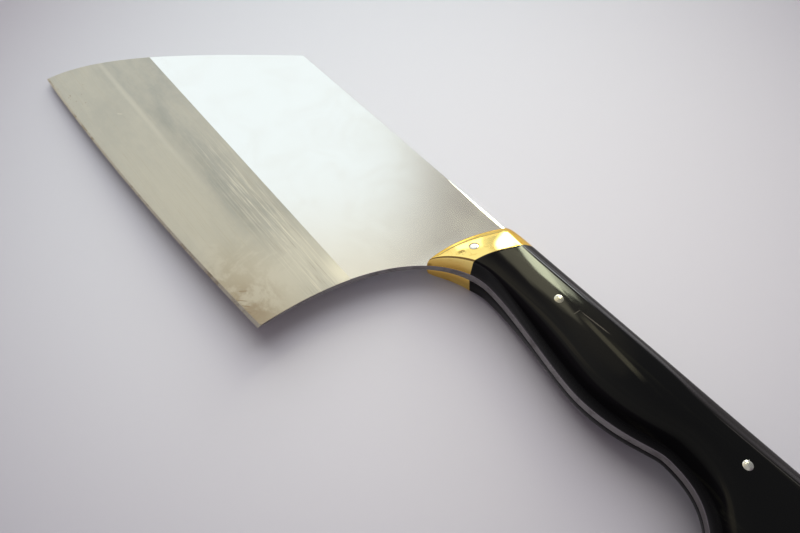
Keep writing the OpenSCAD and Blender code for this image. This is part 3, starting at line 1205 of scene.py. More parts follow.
class NodeSheet(NodeTree):
    """The node tree of one material, with what the finishes share."""

    def __init__(self, name: str) -> None:
        """Starts a material with a plain shader.

        Args:
            name: The material's name.
        """
        self.material = bpy.data.materials.new(name)
        self.material.use_nodes = True
        super().__init__(self.material.node_tree)
        output = self.tree.nodes.new("ShaderNodeOutputMaterial")
        self.shader = self.tree.nodes.new("ShaderNodeBsdfPrincipled")
        self.tree.links.new(self.shader.outputs["BSDF"], output.inputs["Surface"])

    def shade(self, **settings: Feed) -> None:
        """Sets inputs of the shader by name, with _ for each space."""
        for name, value in settings.items():
            self.feed(self.shader.inputs[name.replace("_", " ")], value)

    def place(self) -> Socket:
        """Finds the place on the piece.

        Returns:
            The place in millimetres of the drawing.
        """
        coordinate = self.tree.nodes.new("ShaderNodeTexCoord")
        scaled = self.tree.nodes.new("ShaderNodeVectorMath")
        scaled.operation = "MULTIPLY_ADD"
        self.feed(scaled.inputs[0], coordinate.outputs["Object"])
        scaled.inputs[1].default_value = (1 / MM,) * 3
        scaled.inputs[2].default_value = tuple(BOX_CENTRE)
        return scaled.outputs[0]

    def axes(self, place: Socket) -> tuple[Socket, ...]:
        """Splits a place.

        Args:
            place: The place.

        Returns:
            Its X, Y and Z.
        """
        split = self.tree.nodes.new("ShaderNodeSeparateXYZ")
        self.feed(split.inputs[0], place)
        return tuple(split.outputs)

    def stretched(self, place: Socket, scale: Triple, turn: float = 0.0) -> Socket:
        """Turns and scales a place, for grain that runs one way.

        Args:
            place: The place.
            scale: Scale along each turned axis.
            turn: Turn about Z in radians.

        Returns:
            The new place.
        """
        turned = self.tree.nodes.new("ShaderNodeMapping")
        turned.vector_type = "TEXTURE"
        self.feed(turned.inputs["Vector"], place)
        turned.inputs["Rotation"].default_value = (0.0, 0.0, turn)
        turned.inputs["Scale"].default_value = tuple(1 / s for s in scale)
        return turned.outputs[0]

    def noise(self, place: Socket, scale: float = 1.0, **settings: float) -> Socket:
        """Makes soft noise from 0 to 1.

        Args:
            place: The place.
            scale: Waves per unit of the place.
            settings: Detail, roughness and distortion, where they aren't the usual ones.

        Returns:
            The noise.
        """
        cloud = self.tree.nodes.new("ShaderNodeTexNoise")
        self.feed(cloud.inputs["Vector"], place)
        usual = {"scale": scale, "detail": 3.0, "roughness": 0.55, "distortion": 0.0}
        for name, value in (usual | settings).items():
            cloud.inputs[name.title()].default_value = value
        return cloud.outputs[0]

    def near(self, place: Socket, spot: Spot) -> Socket:
        """Marks a spot.

        Args:
            place: The place on the piece.
            spot: The spot.

        Returns:
            1 on the spot, falling to 0 outside it.
        """
        gap = self.tree.nodes.new("ShaderNodeVectorMath")
        gap.operation = "DISTANCE"
        self.feed(gap.inputs[0], place)
        gap.inputs[1].default_value = spot.centre
        return self.span(gap.outputs["Value"], spot.inner, spot.outer, 1.0, 0.0)

    def stroke(self, axes: Sequence[Feed], start: Place, end: Place, half: float) -> Socket:
        """1 along a thin line between two places, fading sideways and towards its ends.

        Args:
            axes: X and Y of the place.
            start: Where the line starts.
            end: Where it ends.
            half: Half its width.

        Returns:
            The share.
        """
        solid_along, solid_across = 0.5, 0.3
        reach = math.dist(start, end) / 2
        way = ((end[0] - start[0]) / reach / 2, (end[1] - start[1]) / reach / 2)
        middle = ((start[0] + end[0]) / 2, (start[1] + end[1]) / 2)
        offsets = [self.calc("SUBTRACT", a, m) for a, m in zip(axes, middle)]
        along = self.calc("MULTIPLY_ADD", offsets[0], way[0], self.times(offsets[1], way[1]))
        across = self.calc("MULTIPLY_ADD", offsets[1], way[0], self.times(offsets[0], -way[1]))
        ends = self.span(self.size(along), reach * solid_along, reach, 1.0, 0.0)
        sides = self.span(self.size(across), half * solid_across, half, 1.0, 0.0)
        return self.times(ends, sides)

    def bump(self, height: Socket, strength: float, depth: float) -> Socket:
        """Makes a normal that follows a height.

        Args:
            height: The height.
            strength: Share of the effect.
            depth: Depth of a height of 1, in millimetres.

        Returns:
            The normal.
        """
        step = self.tree.nodes.new("ShaderNodeBump")
        self.feed(step.inputs["Height"], height)
        step.inputs["Strength"].default_value = strength
        step.inputs["Distance"].default_value = depth * MM
        return step.outputs[0]


@dataclass(frozen=True)
class PolishedSteel:
    """The bright flat above the grind, with faint polishing lines and smears."""

    bright: Colour = (0.86, 0.875, 0.865)
    dull: Colour = (0.845, 0.855, 0.84)
    roughness: Place = (0.12, 0.21)
    roll_runs: Place = (92.0, 139.0)
    roll_widths: Place = (0.15, 1.7)
    roll_depth: float = 0.32
    line_height: float = 0.0012

    def material(self) -> Material:
        """Builds the finish.

        Returns:
            The material.
        """
        sheet = NodeSheet("polished_steel")
        place = sheet.place()
        x, y, _ = sheet.axes(place)
        roll_w = sheet.span(x, *self.roll_runs, *self.roll_widths)
        roll = sheet.span(sheet.calc("DIVIDE", y, roll_w), 0.1, -1.0)
        lines = sheet.noise(sheet.stretched(place, (0.03, 4.0, 1.0)), detail=4.0)
        smears = sheet.noise(place, 0.05, detail=4.0, roughness=0.6, distortion=0.8)
        height = sheet.calc("MULTIPLY_ADD", lines, self.line_height, roll)
        sheet.shade(
            Base_Color=sheet.blend(sheet.span(smears, 0.42, 0.72), self.bright, self.dull),
            Metallic=1.0,
            Roughness=sheet.between(smears, *self.roughness),
            Normal=sheet.bump(height, strength=1.0, depth=self.roll_depth),
        )
        return sheet.material


@dataclass(frozen=True)
class GroundSteel:
    """The wide matt grind, with lengthwise scratches, pale clouds and stains."""

    form: SteelForm = SteelForm()
    grey: Colour = (0.435, 0.433, 0.405)
    warm: Colour = (0.645, 0.615, 0.533)
    shade: Colour = (0.335, 0.33, 0.30)
    brown: Colour = (0.47, 0.40, 0.29)
    pale: Colour = (0.74, 0.71, 0.63)
    shiny: Colour = (0.92, 0.88, 0.76)
    stain: Colour = (0.34, 0.25, 0.17)
    nick: tuple[Place, Place] = ((-23.2, -88.6), (-20.8, -86.6))
    nick_half: float = 0.6
    hairs: tuple[tuple[Place, Place], ...] = (
        ((96.5, -102.6), (100.5, -98.8)),
        ((98.6, -103.6), (103.4, -99.2)),
        ((100.6, -104.2), (105.6, -100.6)),
        ((94.0, -99.6), (96.4, -96.4)),
    )
    hair_half: float = 0.3
    aged: Spot = Spot((101.0, -103.5, 0.0), 6.0, 39.0)
    cream: Spot = Spot((102.0, -72.0, 0.0), 3.0, 38.0)
    line_end: Spot = Spot((114.0, -64.0, 0.0), 1.5, 15.0)
    heel: Spot = Spot((88.0, -92.0, 0.0), 8.0, 34.0)
    heel_corner: Spot = Spot((104.0, -101.0, 0.0), 3.0, 17.0)
    toe: Spot = Spot((-45.0, -101.0, 0.0), 3.0, 15.0)
    roughness: Place = (0.39, 0.53)

    def material(self) -> Material:
        """Builds the finish.

        Returns:
            The material.
        """
        sheet = NodeSheet("ground_steel")
        place = sheet.place()
        x, _, _ = sheet.axes(place)
        depth = self.depth(sheet, place)
        fine = self.grain(sheet, place, (0.045, 2.6, 1.0), detail=5.0, roughness=0.6)
        strokes = self.grain(sheet, place, (0.05, 1.5, 1.0), detail=4.0, roughness=0.65)
        zone = sheet.times(sheet.band(depth, 9.0, 0.0, 12.0), sheet.span(x, -25.0, 80.0))
        marks = sheet.times(sheet.span(strokes, 0.46, 0.72), zone)
        dark = sheet.times(sheet.span(strokes, 0.44, 0.30), zone)

        colour = self.ground(sheet, place, depth)
        colour = sheet.laid(colour, self.brown, sheet.near(place, self.aged), 0.8)
        colour = sheet.laid(colour, self.brown, sheet.span(fine, 0.52, 0.30, 0.0, 0.22))
        streak = sheet.times(sheet.band(depth, 21.0, 0.0, 1.9), sheet.span(x, 58.0, -15.0))
        colour = sheet.laid(colour, self.pale, streak, 0.34)
        colour = sheet.laid(colour, self.pale, sheet.near(place, self.cream), 0.7)
        line_end = sheet.near(place, self.line_end)
        colour = sheet.laid(colour, self.shiny, line_end, sheet.span(depth, 9.0, 2.0))
        colour = sheet.laid(colour, self.shiny, marks, 0.8)
        colour = sheet.laid(colour, self.stain, dark, 0.4)

        height = sheet.calc("MULTIPLY_ADD", marks, 1.2, sheet.calc("MULTIPLY_ADD", fine, 0.7, strokes))
        sheet.shade(
            Base_Color=self.stained(sheet, place, colour),
            Metallic=1.0,
            Roughness=sheet.between(fine, *self.roughness),
            Normal=sheet.bump(height, strength=0.16, depth=0.05),
        )
        return sheet.material

    def depth(self, sheet: NodeSheet, place: Socket) -> Socket:
        """Measures how far a place lies below the grind line.

        Args:
            sheet: The material's sheet.
            place: The place on the piece.

        Returns:
            The distance in millimetres.
        """
        x, y, _ = sheet.axes(place)
        turn, middle = self.form.grind_turn, self.form.outline.edge_mid_x
        along = sheet.times(sheet.calc("SUBTRACT", x, middle), math.sin(turn))
        down = sheet.times(sheet.calc("ADD", y, self.form.grind_drop), math.cos(turn))
        return sheet.calc("SUBTRACT", along, down)

    def grain(self, sheet: NodeSheet, place: Socket, stretch: Triple, **settings: float) -> Socket:
        """Noise that runs along the grind line."""
        return sheet.noise(sheet.stretched(place, stretch, self.form.grind_turn), **settings)

    def ground(self, sheet: NodeSheet, place: Socket, depth: Socket) -> Socket:
        """Builds the plain colour of the grind, with its warm clouds and one nick.

        Args:
            sheet: The material's sheet.
            place: The place on the piece.
            depth: Distance below the grind line.

        Returns:
            The colour.
        """
        x, y, _ = sheet.axes(place)
        clouds = self.grain(
            sheet, place, (0.018, 0.06, 1.0), detail=4.0, roughness=0.6, distortion=0.6
        )
        mottled = self.grain(sheet, place, (0.35, 0.6, 1.0), scale=0.5, detail=6.0, roughness=0.7)
        colour = sheet.laid(self.grey, self.warm, sheet.span(clouds, 0.35, 0.65), 0.45)
        colour = sheet.laid(colour, self.warm, sheet.span(mottled, 0.40, 0.66, 0.0, 0.22))
        lower, heelward = sheet.span(depth, 15.0, 24.0), sheet.span(x, -60.0, 40.0, 0.3, 0.65)
        colour = sheet.laid(colour, self.warm, lower, heelward)
        shaded = sheet.band(depth, 15.5, 0.0, 5.0)
        colour = sheet.laid(colour, self.shade, shaded, sheet.span(x, -50.0, 10.0), 0.24)
        return sheet.laid(colour, self.pale, sheet.stroke((x, y), *self.nick, self.nick_half), 0.5)

    def stained(self, sheet: NodeSheet, place: Socket, colour: Socket) -> Socket:
        """Lays clouds, rust and hairlines at the heel, and specks at the toe, over a colour.

        Args:
            sheet: The material's sheet.
            place: The place on the piece.
            colour: The colour so far.

        Returns:
            The colour with its stains.
        """
        x, y, _ = sheet.axes(place)
        blotches = sheet.noise(place, 0.055, detail=5.0, roughness=0.66, distortion=0.5)
        pale, rusty = sheet.span(blotches, 0.48, 0.60), sheet.span(blotches, 0.60, 0.44)
        colour = sheet.laid(colour, self.pale, pale, sheet.near(place, self.heel), 0.4)
        colour = sheet.laid(colour, self.stain, rusty, sheet.near(place, self.heel_corner), 0.55)
        for start, end in self.hairs:
            hair = sheet.stroke((x, y), start, end, self.hair_half)
            colour = sheet.laid(colour, self.stain, hair, 0.7)
        specks = sheet.span(sheet.noise(place, 0.9, detail=2.0), 0.66, 0.74)
        return sheet.laid(colour, self.stain, sheet.near(place, self.toe), specks)


@dataclass(frozen=True)
class CutSteel:
    """The sawn and filed walls of the steel, and its cutting bevel."""

    name: str = "steel_wall"
    tone: Colour = (0.25, 0.235, 0.235)
    dark: Colour = (0.15, 0.135, 0.135)
    roughness: Place = (0.30, 0.46)
    # Painted shade darkens the steel's walls towards the butt between these places
    painted_shade_run: Place = (225.0, 268.0)

    def material(self) -> Material:
        """Builds the finish.

        Returns:
            The material.
        """
        sheet = NodeSheet(self.name)
        place = sheet.place()
        x, _, _ = sheet.axes(place)
        file_marks = sheet.noise(sheet.stretched(place, (2.2, 2.2, 0.3)))
        dirt = sheet.noise(place, 0.16, detail=5.0, roughness=0.65, distortion=0.5)
        colour = sheet.blend(sheet.span(dirt, 0.45, 0.7), self.tone, self.dark)
        sheet.shade(
            # Painted shade: darker towards the butt
            Base_Color=sheet.blend(sheet.span(x, *self.painted_shade_run, 0.0, 0.8), colour, self.dark),
            Metallic=1.0,
            Roughness=sheet.between(file_marks, *self.roughness),
            Normal=sheet.bump(file_marks, strength=0.12, depth=0.04),
        )
        return sheet.material


CUTTING_BEVEL = CutSteel("cutting_bevel", (0.62, 0.60, 0.56), (0.40, 0.35, 0.29), (0.22, 0.38))


@dataclass(frozen=True)
class Brass:
    """Polished brass with faint scratches, a smear, old polish round its pin and painted shade low on its
    walls.
    """

    bright: Colour = (1.0, 0.76, 0.25)
    deep: Colour = (0.80, 0.48, 0.11)
    rim_tint: Colour = (0.85, 0.62, 0.32)
    tarnish: Colour = (0.20, 0.11, 0.03)
    roughness: Place = (0.05, 0.10)
    smear: Spot = Spot((139.6, -25.8, 8.4), 0.5, 2.1)
    smear_flatness: float = 0.25
    worn_tip: Spot = Spot((131.9, -35.4, 2.0), 0.4, 1.8)
    ring_offset: Place = (0.15, 0.45)

    def material(self) -> Material:
        """Builds the finish.

        Returns:
            The material.
        """
        sheet = NodeSheet("brass")
        place = sheet.place()
        _, y, z = sheet.axes(place)
        stains = sheet.noise(place, 0.22, detail=5.0, roughness=0.6, distortion=0.7)
        colour = sheet.blend(sheet.span(stains, 0.5, 0.85), self.bright, self.deep)
        # The walls take the deep tone towards the steel: painted shade where bolster meets steel
        walls = sheet.calc("ADD", sheet.span(y, -24.0, -29.0), sheet.span(y, -5.0, -2.0))
        colour = sheet.laid(colour, self.deep, sheet.span(sheet.size(z), 8.6, 3.0), walls, 0.8)
        colour = sheet.laid(colour, self.tarnish, self.pin_ring(sheet, place), 0.85)
        blots = sheet.span(sheet.noise(place, 1.1, roughness=0.7), 0.42, 0.56)
        colour = sheet.laid(colour, self.tarnish, self.smeared(sheet, place), blots, 0.75)
        colour = sheet.laid(colour, self.tarnish, sheet.near(place, self.worn_tip), 0.8)
        scratches = sheet.noise(sheet.stretched(place, (3.0, 0.25, 0.8), 0.3), detail=4.0)
        sheet.shade(
            Base_Color=colour,
            Metallic=1.0,
            Specular_Tint=self.rim_tint,
            Roughness=sheet.between(stains, *self.roughness),
            Normal=sheet.bump(scratches, strength=0.025, depth=0.03),
        )
        return sheet.material

    def smeared(self, sheet: NodeSheet, place: Socket) -> Socket:
        """Marks a smear that reaches further in depth than along the side.

        Args:
            sheet: The material's sheet.
            place: The place on the piece.

        Returns:
            Its share.
        """
        x, y, z = self.smear.centre
        spot = replace(self.smear, centre=(x, y, z * self.smear_flatness))
        return sheet.near(sheet.stretched(place, (1.0, 1.0, self.smear_flatness)), spot)

    def pin_ring(self, sheet: NodeSheet, place: Socket) -> Socket:
        """Marks a thin ring round the bolster's pin.

        Args:
            sheet: The material's sheet.
            place: The place on the piece.

        Returns:
            Its share.
        """
        flat = sheet.tree.nodes.new("ShaderNodeVectorMath")
        flat.operation = "MULTIPLY"
        sheet.feed(flat.inputs[0], place)
        flat.inputs[1].default_value = (1.0, 1.0, 0.0)
        inner, outer = (BOLSTER_PIN.diameter / 2 + offset for offset in self.ring_offset)
        return sheet.near(flat.outputs[0], Spot((*BOLSTER_PIN.place, 0.0), inner, outer))


@dataclass(frozen=True)
class Horn:
    """Polished black horn, with faint olive streaks, scratches and a slightly wavy gloss, a painted sheen
    on its spine facet and a painted reflection along its ridge.
    """

    black: Colour = (0.002, 0.002, 0.0022)
    streak: Colour = (0.012, 0.012, 0.008)
    roughness: Place = (0.035, 0.095)
    gloss: Place = (0.33, 0.2)
    gloss_run: Place = (185.0, 240.0)
    wall_gloss: float = 0.3
    facet_gloss: float = 0.02
    # Painted sheen: a lighter colour on the top of the spine facet
    facet_sheen: Colour = (0.021, 0.019, 0.02)
    lines: tuple[tuple[Place, Place, float, Colour], ...] = (
        ((187.1, -12.6), (201.6, -11.7), 0.32, (0.075, 0.068, 0.055)),
        ((186.9, -15.6), (187.2, -12.2), 0.28, (0.055, 0.05, 0.04)),
        ((186.0, -13.4), (222.0, -17.0), 1.3, (0.034, 0.032, 0.022)),
        # Painted reflection along the ridge towards the pommel
        ((240.0, -7.9), (286.0, -7.6), 0.3, (0.03, 0.028, 0.026)),
    )

    def material(self) -> Material:
        """Builds the finish.

        Returns:
            The material.
        """
        sheet = NodeSheet("horn")
        place = sheet.place()
        x, y, z = sheet.axes(place)
        grain = sheet.noise(
            sheet.stretched(place, (0.012, 0.14, 0.14)), detail=4.0, roughness=0.6, distortion=0.7
        )
        waves = sheet.noise(sheet.stretched(place, (0.05, 0.22, 0.22)), detail=2.0)
        prints = sheet.noise(place, 0.12, detail=5.0, roughness=0.65, distortion=1.0)
        hairs = sheet.noise(sheet.stretched(place, (0.12, 3.2, 3.2)))
        walls = sheet.span(sheet.size(z), 10.3, 8.8)
        on_facet = sheet.span(y, -8.2, -6.2)
        wall_gloss = sheet.span(on_facet, 0.0, 1.0, self.wall_gloss, self.facet_gloss)
        dimmed = sheet.blend(walls, (1.0, 1.0, 1.0), wall_gloss)
        colour = sheet.blend(sheet.span(grain, 0.52, 0.78), self.black, self.streak)
        shown_side = sheet.span(z, 0.0, 1.0)
        # Scratches, an olive streak and a painted reflection along the ridge, laid on one side
        for start, end, half, tone in self.lines:
            colour = sheet.laid(colour, tone, sheet.stroke((x, y), start, end, half), shown_side)
        # The top of the spine facet takes a lighter colour, a painted sheen
        sheen_top = sheet.span(sheet.size(z), 10.6, 10.2)
        sheet.shade(
            Base_Color=sheet.laid(colour, self.facet_sheen, sheen_top, on_facet),
            Metallic=0.0,
            Roughness=sheet.between(prints, *self.roughness),
            IOR=1.46,
            Specular_IOR_Level=sheet.times(sheet.span(x, *self.gloss_run, *self.gloss), dimmed),
            Normal=sheet.bump(sheet.calc("MULTIPLY_ADD", hairs, 0.05, waves), strength=0.1, depth=0.25),
        )
        return sheet.material


@dataclass(frozen=True)
class PinSteel:
    """Peened and polished pin ends."""

    name: str
    tone: Colour = (0.84, 0.83, 0.79)
    worn: Colour = (0.66, 0.64, 0.60)
    roughness: Place = (0.18, 0.34)

    def material(self) -> Material:
        """Builds the finish.

        Returns:
            The material.
        """
        sheet = NodeSheet(self.name)
        dents = sheet.noise(sheet.place(), 1.3)
        sheet.shade(
            Base_Color=sheet.blend(sheet.span(dents, 0.4, 0.7), self.tone, self.worn),
            Metallic=1.0,
            Roughness=sheet.between(dents, *self.roughness),
            Normal=sheet.bump(dents, strength=0.12, depth=0.06),
        )
        return sheet.material


@dataclass(frozen=True)
class Finished:
    """A finished piece, with the CAD node that it stands for and its slot."""

    node: str
    piece: Piece
    slot: Slot


@dataclass
class Steel:
    """The blade and its full tang."""

    form: SteelForm = field(default_factory=SteelForm)
    pins: tuple[PinForm, ...] = (BOLSTER_PIN, FRONT_PIN, REAR_PIN)
    pin_clear: float = 0.05
    # The broken corners take this much off the rim, but leave this share of its half thickness
    edge_break: float = 0.15
    break_least: float = 0.4
    edge_steps: int = 160
    front_steps: int = 90
    spine_steps: int = 95
    corner_steps: int = 40
    belly_steps: int = 44
    heel_steps: int = 110
    bore_steps: int = 48
    # The steel stays behind and above these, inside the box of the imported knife
    foremost: float = -65.9
    lowest: float = -105.265
    overshoot: float = 4.0
    ease_steps: int = 14
    # Rows of points across the ramp, from beyond the belly to beyond the spine
    ramp_step: float = 1.0
    row_from: float = -80.0
    row_to: float = 3.0
    row_step: float = 3.0
    # Places within snap count as on a line, and those within join become one corner
    snap: float = 1e-3
    join: float = 1e-4
    # Faces whose normal has less Z than wall_tilt are walls, and the angles are in degrees
    sharp_angle: float = 25.0
    wall_tilt: float = 0.5
    flat_line_angle: float = 0.4
    ramp_line_angle: float = 6.0
    ramp_margin: float = 0.5

    def outline_loop(self) -> np.ndarray:
        """Draws the outline, from the toe over the spine and back.

        Returns:
            The points, one row each.
        """
        out = self.form.outline
        front, heel = out.front_curve, out.heel_curve
        toe = front.share_where(out.above_edge)
        heel_share = heel.share_where(out.above_edge)
        loop = front.points(self.front_steps, toe, 1.0)
        spine_xs = np.linspace(0.0, out.butt_corner[0], self.spine_steps)[1:-1]
        loop += [np.array([x, 0.0]) for x in spine_xs]
        loop += out.corner_curve.points(self.corner_steps)
        for curve in (out.pommel_curve, *reversed(out.belly_curves)):
            loop += curve.points(self.belly_steps)[::-1][1:]
        loop += heel.points(self.heel_steps, heel_share, 1.0)[::-1][1:]
        ends = (loop[-1][0], loop[0][0])
        loop += [np.array([x, out.edge_y(x)]) for x in np.linspace(*ends, self.edge_steps)[1:-1]]
        return np.array(loop)

    def on_edge(self, p: Sequence[float]) -> bool:
        """Tests whether a place lies on the arc of the cutting edge.

        Args:
            p: X and Y of the place.

        Returns:
            True on the arc.
        """
        out = self.form.outline
        gap = abs(math.dist(p, out.edge_centre) - out.edge_radius)
        return gap < self.snap and p[1] < -out.blade_depth / 2

    def feature_lines(self, loop: np.ndarray) -> list[np.ndarray]:
        """Lines on the steel that its mesh follows.

        Args:
            loop: The outline.

        Returns:
            Open lines as rows of points.
        """
        return [*self.blade_lines(), *self.ramp_lines(), *self.rim_lines(loop)]

    def blade_lines(self) -> list[np.ndarray]:
        """Draws the grind line, the top of the cutting bevel and the eased corner.

        Returns:
            The three lines.
        """
        form, out = self.form, self.form.outline
        way = np.array([math.cos(form.grind_turn), math.sin(form.grind_turn)])
        middle = np.array([out.edge_mid_x, -form.grind_drop])
        half = out.edge_half + self.overshoot
        grind = np.array([middle - way * half, middle + way * half])
        sweep = math.asin(half / out.edge_radius)
        bevel = np.array([form.bevel_top(a) for a in np.linspace(-sweep, sweep, self.edge_steps)])
        ease_end = out.spine_len - form.ease_stop
        ease_xs = [-self.overshoot, *np.linspace(form.ramp_from, ease_end, self.ease_steps)]
        depth = form.blade_t / 2 - form.spine_ease
        eased = np.array([(x, depth - form.stock_half(x)) for x in ease_xs])
        return [grind, bevel, eased]

    def ramp_lines(self) -> list[np.ndarray]:
        """Draws rows of points across the hollow ramp.

        Returns:
            The rows, one for each step along it.
        """
        xs = np.arange(self.form.ramp_from, self.form.joint_x + self.ramp_step, self.ramp_step)
        ys = np.arange(self.row_from, self.row_to, self.row_step)
        return [np.array([(x, y) for y in ys]) for x in xs]

    def rim_lines(self, loop: np.ndarray) -> list[np.ndarray]:
        """Draws the inner lines of the broken corners, where the rim has them.

        Args:
            loop: The outline.

        Returns:
            Open lines as rows of points.
        """
        tangent = np.roll(loop, -1, axis=0) - np.roll(loop, 1, axis=0)
        tangent /= np.linalg.norm(tangent, axis=1, keepdims=True)
        inner = loop + np.stack([tangent[:, 1], -tangent[:, 0]], axis=1) * self.edge_break
        spine_end = self.form.outline.spine_len
        broken = [not self.on_edge(p) and not (p[1] == 0.0 and p[0] < spine_end) for p in loop]
        lines, count = [], len(loop)
        for start in (i for i, is_broken in enumerate(broken) if is_broken and not broken[i - 1]):
            run = []
            i = start
            while broken[i % count] and len(run) < count:
                run.append(inner[i % count])
                i += 1
            if loop[i % count][1] == 0.0:
                run.append(inner[i % count])
            lines.append(np.array(run))
        return lines

    def triangles(self) -> tuple[np.ndarray, list[tuple[int, int, int]]]:
        """Fills the outline with triangles that follow its lines.

        Returns:
            The places of the corners, and the triangles.
        """
        loop = self.outline_loop()
        points: list[Vector] = []
        edges: list[tuple[int, int]] = []
        radius = self.pins[0].diameter / 2 + self.pin_clear
        bores = [pin.loop(radius, self.bore_steps) for pin in self.pins]
        closed = [loop, *bores]
        for index, line in enumerate([*closed, *self.feature_lines(loop)]):
            first, last = len(points), len(points) + len(line) - 1
            points += [Vector(p) for p in line]
            edges += [(i, i + 1) for i in range(first, last)]
            if index < len(closed):
                edges.append((last, first))
        verts, _, faces, *_ = delaunay_2d_cdt(points, edges, [], 0, self.join)
        places = np.array([tuple(v) for v in verts])
        corners = np.array([tuple(f) for f in faces])
        centres = places[corners].mean(axis=1)
        kept = inside_loop(centres, loop)
        for bore in bores:
            kept &= ~inside_loop(centres, bore)
        return places, [tuple(f) for f in corners[kept]]

    def build(self) -> list[Finished]:
        """Builds the steel as one closed mesh and dresses it.

        Returns:
            The steel alone.
        """
        places, faces = self.triangles()
        rim = self.rim_edges(faces)
        heights = self.heights(places, {i for edge in rim for i in edge})
        kept_in = np.maximum(places, (self.foremost, self.lowest))
        used = sorted({i for face in faces for i in face})
        bm = bmesh.new()
        rows: dict[Side, dict[int, BMVert]] = {}
        for side in Side:
            placed = MeshWorks.to_row_frame(np.column_stack([kept_in, heights]), side)
            rows[side] = {i: bm.verts.new(placed[i]) for i in used}
        left, right = rows[Side.LEFT], rows[Side.RIGHT]
        for face in faces:
            bm.faces.new([left[i] for i in face])
            bm.faces.new([right[i] for i in reversed(face)])
        for a, b in rim:
            bm.faces.new((left[a], left[b], right[b], right[a]))
        piece = MeshWorks.to_object("steel", bm, self.sharp_angle)
        self.dress(piece)
        return [Finished("blade", piece, Slot.STEEL)]

    @staticmethod
    def rim_edges(faces: Sequence[tuple[int, ...]]) -> list[tuple[int, int]]:
        """Finds the edges that belong to one triangle alone.

        Args:
            faces: The triangles.

        Returns:
            The edges, each with its lower corner first.
        """
        count: dict[tuple[int, int], int] = {}
        for face in faces:
            for a, b in zip(face, face[1:] + face[:1]):
                key = (min(a, b), max(a, b))
                count[key] = count.get(key, 0) + 1
        return [key for key, n in count.items() if n == 1]

    def heights(self, places: np.ndarray, rim: set[int]) -> np.ndarray:
        """Finds the half thickness at each place, less at the broken corners.

        Args:
            places: The corners of the triangles.
            rim: Those that lie on the rim.

        Returns:
            The heights.
        """
        heights = np.array([self.form.half(*p) for p in places])
        for i in rim:
            p = places[i]
            if not (self.on_edge(p) or self.in_bore(p) or self.on_eased_spine(p)):
                heights[i] = max(heights[i] - self.edge_break, heights[i] * self.break_least)
        return heights

    def in_bore(self, p: Sequence[float]) -> bool:
        """True on the wall of a bore."""
        return any(math.dist(p, pin.place) < pin.diameter for pin in self.pins)

    def on_eased_spine(self, p: Sequence[float]) -> bool:
        """True on the stretch of spine that has eased corners."""
        return p[1] > -self.snap and p[0] < self.form.outline.spine_len

    def dress(self, piece: Piece) -> None:
        """Gives each face its finish and keeps the grind's lines crisp.

        Args:
            piece: The steel.
        """
        finishes = {
            SteelZone.FLAT: PolishedSteel(),
            SteelZone.GRIND: GroundSteel(self.form),
            SteelZone.WALL: CutSteel(),
            SteelZone.BEVEL: CUTTING_BEVEL,
        }
        for zone in SteelZone:
            piece.data.materials.append(finishes[zone].material())
        bm = bmesh.new()
        bm.from_mesh(piece.data)
        for face in bm.faces:
            face.material_index = self.zone(face)
        for edge in bm.edges:
            if len(edge.link_faces) == 2 and not any(map(self.is_wall, edge.link_faces)):
                x = edge.verts[0].co.x / MM + BOX_CENTRE[0]
                on_blade = x < self.form.ramp_from - self.ramp_margin
                limit = math.radians(self.flat_line_angle if on_blade else self.ramp_line_angle)
                if edge.calc_face_angle(0.0) > limit:
                    edge.smooth = False
        bm.to_mesh(piece.data)
        bm.free()

    def zone(self, face: bmesh.types.BMFace) -> SteelZone:
        """Finds the zone of the steel that a face belongs to.

        Args:
            face: The face.

        Returns:
            Its zone.
        """
        form = self.form
        if self.is_wall(face):
            return SteelZone.WALL
        x, y, _ = np.array(face.calc_center_median()) / MM + BOX_CENTRE
        below = form.below_grind_line(x, y) > 0 and y < -form.outline.blade_depth / 3
        if x >= form.ramp_from or not below:
            return SteelZone.FLAT
        return SteelZone.BEVEL if form.bevel_half(x, y) < form.grind_half(x, y) else SteelZone.GRIND

    def is_wall(self, face: bmesh.types.BMFace) -> bool:
        """True for a face that stands upright, on the rim or in a bore."""
        return abs(face.normal.z) < self.wall_tilt


@dataclass
class HandlePart:
    """What bolsters and scales share: halves that are bored for their pins."""

    form: HandleForm = field(default_factory=HandleForm)
    corner: float = 0.12
    pin_clear: float = 0.1
    pin_turns: int = 48
    half_sharp: float = 32.0
    pin_sharp: float = 40.0

    def bored(
        self, name: str, bm: bmesh.types.BMesh, pins: Sequence[PinForm], finish: Material
    ) -> Piece:
        """Makes one half from its mesh.

        Args:
            name: The object's name.
            bm: The half's closed mesh.
            pins: The pins that go through it.
            finish: Its material.

        Returns:
            The bored half.
        """
        piece = MeshWorks.to_object(name, bm, self.half_sharp)
        MeshWorks.bore(piece, pins, self.pin_clear, 2 * self.form.palm_half)
        piece.data.materials.clear()
        piece.data.materials.append(finish)
        return piece


